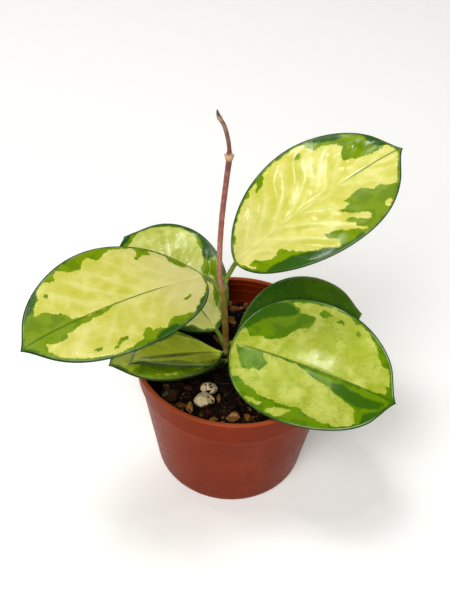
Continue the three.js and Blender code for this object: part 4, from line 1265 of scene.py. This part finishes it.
# Stone finish: pale to deep by noise, with a painted shade under the pumice and a painted highlight on the
# grey stone's top, and dark in the pits
def stoneMaterial(name, *tints):
    material, tree, shader = newMaterial(name, Specular_IOR_Level=0.35)
    pale, deep, blush, paintedShadingTint, pitTint = (colour(*tint) for tint in tints)
    place = objectPlace(tree)
    cloudy = mottled(tree, 260.0, 0.35, 0.65)
    tint = mixColour(tree, cloudy, pale, deep)
    patchy = mottled(tree, 150.0, 0.5, 0.72)
    tint = mixColour(tree, times(tree, patchy, 0.6), tint, blush)
    pit, paintedShading, _ = fieldOf(tree, "stoneField")
    # Painted shade on the pumices' lower front, a painted highlight on the grey stone's top
    tint = mixColour(tree, paintedShading, tint, paintedShadingTint)
    tint = mixColour(tree, remap(tree, pit, 0.06, 0.35), tint, pitTint)
    pores = remap(tree, noiseOf(tree, place, 1900.0, 2.0, 0.6), 0.62, 0.72)
    tint = mixColour(tree, times(tree, pores, 0.7), tint, pitTint)
    height = maths(tree, "SUBTRACT", grained(tree, 1200.0, 0.7), pores)
    linkShader(tree, shader, tint, timesPlus(tree, cloudy, 0.15, 0.75), height, 0.0003, 0.8)
    return material


# Bark finish: layered browns with darker cracks
def barkMaterial(name, *tints):
    material, tree, shader = newMaterial(name, Specular_IOR_Level=0.35)
    pale, deep, crack = (colour(*tint) for tint in tints)
    place = objectPlace(tree)
    layers = noiseOf(tree, stretched(tree, place, 0.5, 0.7, 2.4), 600.0, 3.0, 0.65, 0.6)
    tint = mixColour(tree, remap(tree, layers, 0.38, 0.62), deep, pale)
    cracks = remap(tree, noiseOf(tree, place, 1100.0, 3.0, 0.7), 0.55, 0.68)
    tint = mixColour(tree, times(tree, cracks, 0.75), tint, crack)
    height = maths(tree, "SUBTRACT", layers, cracks)
    linkShader(tree, shader, tint, timesPlus(tree, layers, 0.3, 0.5), height, 0.0003, 0.7)
    return material


peatStops = [(0.3, 12, 8, 7), (0.55, 26, 18, 14), (0.66, 50, 34, 23), (0.75, 84, 58, 38)]
crumbStops = [
    (0.05, 10, 7, 6), (0.55, 19, 12, 10), (0.75, 44, 25, 18), (0.88, 88, 52, 30), (1.0, 142, 100, 60),
]
fibreStops = [(0.3, 52, 34, 22), (0.7, 112, 80, 52)]
bed, fibres = skinMesh("mixBed", [mixSkin()]), skinMesh("mixFibres", fibreSkins())
addPiece("mixBed", bed, mixMaterial("peat", peatStops), "potting_mix", "potting_mix")
addPiece("mixCrumbs", crumbMesh(), mixMaterial("peatCrumbs", crumbStops, "crumbShade"), "potting_mix")
addPiece("mixFibres", fibres, mixMaterial("peatFibres", fibreStops), "potting_mix")
print("mix made")

# The fourth colour is painted light: shade on the pumices' lower front, a highlight on the grey stone's top
stoneFinishes = {
    "pumice": stoneMaterial(
        "pumiceStone", (238, 220, 176), (206, 186, 136), (222, 168, 134), (48, 30, 20), (30, 24, 18)),
    "grey_stone": stoneMaterial(
        "dullStone", (76, 52, 30), (28, 20, 15), (50, 32, 20), (140, 138, 136), (12, 8, 6)),
}
for number, (name, stone) in enumerate(stones.items()):
    skin, field = stoneSkin(stone, 60 + number)
    mesh = skinMesh(name, [skin], {"stoneField": [field]})
    addPiece(name, mesh, stoneFinishes[stone["slot"]], stone["slot"], stone["node"])
barkFinishes = {
    "tan": barkMaterial("barkTan", (186, 138, 80), (126, 80, 36), (44, 28, 16)),
    "brown": barkMaterial("barkBrown", (166, 108, 56), (106, 62, 32), (34, 20, 12)),
    "red": barkMaterial("barkRed", (74, 36, 26), (44, 22, 18), (18, 10, 8)),
    "dull": barkMaterial("barkDull", (138, 112, 78), (104, 80, 52), (46, 34, 24)),
}
for number, chip in enumerate(chips, start=1):
    name = f"barkChip{number:02d}"
    mesh = skinMesh(name, [chipSkin(chip, 80 + number)])
    addPiece(name, mesh, barkFinishes[chip["bark"]], "bark", f"bark_chip_{number:02d}")
addPiece("woodyTwig", skinMesh("woodyTwig", [twigSkin()]), barkFinishes["dull"], "bark", "woody_twig")
print("stones, chips and twig made:", len(stones) + len(chips) + 1)


# Camera at the photograph's viewing angle, with the lens as on a 36 mm long side
view = {
    "place": (-5.8, -268.7, 360.9), "elevation": 43.5, "roll": 2.5, "lens": 48, "longSide": 36,
    "clip": (0.01, 20),
}
rise, roll = math.radians(view["elevation"]), math.radians(view["roll"])
back = Vector((0, -math.cos(rise), math.sin(rise)))
level, upright = Vector((1, 0, 0)), Vector((0, math.sin(rise), math.cos(rise)))
right = level * math.cos(roll) + upright * math.sin(roll)
up = upright * math.cos(roll) - level * math.sin(roll)
camera = newObject("camera", bpy.data.cameras.new("camera"))
camera.data.lens, camera.data.sensor_width = view["lens"], view["longSide"]
camera.data.clip_start, camera.data.clip_end = view["clip"]
turned = Matrix((right, up, back)).transposed().to_4x4()
camera.matrix_world = Matrix.Translation(Vector(view["place"]) * mm) @ turned
bpy.context.scene.camera = camera

# Studio: four small square lights overhead that the leaves reflect, a wider ceiling and a wide fill from the
# front that only light, and a pale floor
# Each is the way to it, its distance, size and watts, and whether glossy surfaces show it
lamps = {
    "overheadLight": ((-0.39, 0.11, 0.914), 2000, 150, 2.1, True),
    "frontLight": ((-0.1, -0.07, 0.99), 2000, 110, 2.2, True),
    "rearLight": ((-0.39, 0.46, 0.80), 2000, 130, 1.2, True),
    "topLight": ((-0.2, 0.28, 0.94), 2000, 150, 0.8, True),
    "ceilingLight": ((-0.22, 0.08, 0.97), 2000, 450, 12.5, False),
    "fillLight": ((-0.25, -0.65, 0.72), 2500, 1600, 51.0, False),
}
target = Vector((0, 0, 110)) * mm
for name, (way, distance, size, watts, glossy) in lamps.items():
    data = bpy.data.lights.new(name, "AREA")
    data.energy, data.size = watts, size * mm
    light = newObject(name, data)
    way = Vector(way).normalized()
    turned = way.to_track_quat("Z", "Y").to_matrix().to_4x4()
    light.matrix_world = Matrix.Translation(target + way * distance * mm) @ turned
    light.visible_glossy = glossy
world = bpy.data.worlds.new("studio")
world.use_nodes = True
worldTree = world.node_tree
skyWay = addNode(worldTree, "ShaderNodeTexCoord").outputs["Generated"]
low = remap(worldTree, separated(worldTree, skyWay)["Z"], 0.25, 0.05)
sky = mixColour(worldTree, low, (0.06, 0.06, 0.06, 1), (0.6, 0.6, 0.59, 1))
worldTree.links.new(sky, worldTree.nodes["Background"].inputs["Color"])
worldTree.nodes["Background"].inputs["Strength"].default_value = 1.0
bpy.context.scene.world = world
bpy.context.scene.view_settings.view_transform = "Standard"

floorReach, floorDrop = 3000, 0.02
corners = [(x * floorReach, y * floorReach, -floorDrop) for x, y in ((-1, -1), (1, -1), (1, 1), (-1, 1))]
floor = newObject("studioFloor", meshOf("studioFloor", corners, [(0, 1, 2, 3)]))
floorFinish = {
    "Base_Color": colour(246, 245, 242), "Roughness": 0.8, "Emission_Color": colour(255, 254, 250),
    "Emission_Strength": 0.2,
}
floor.data.materials.append(newMaterial("paleFloor", **floorFinish)[0])
print("camera, lights and floor made")
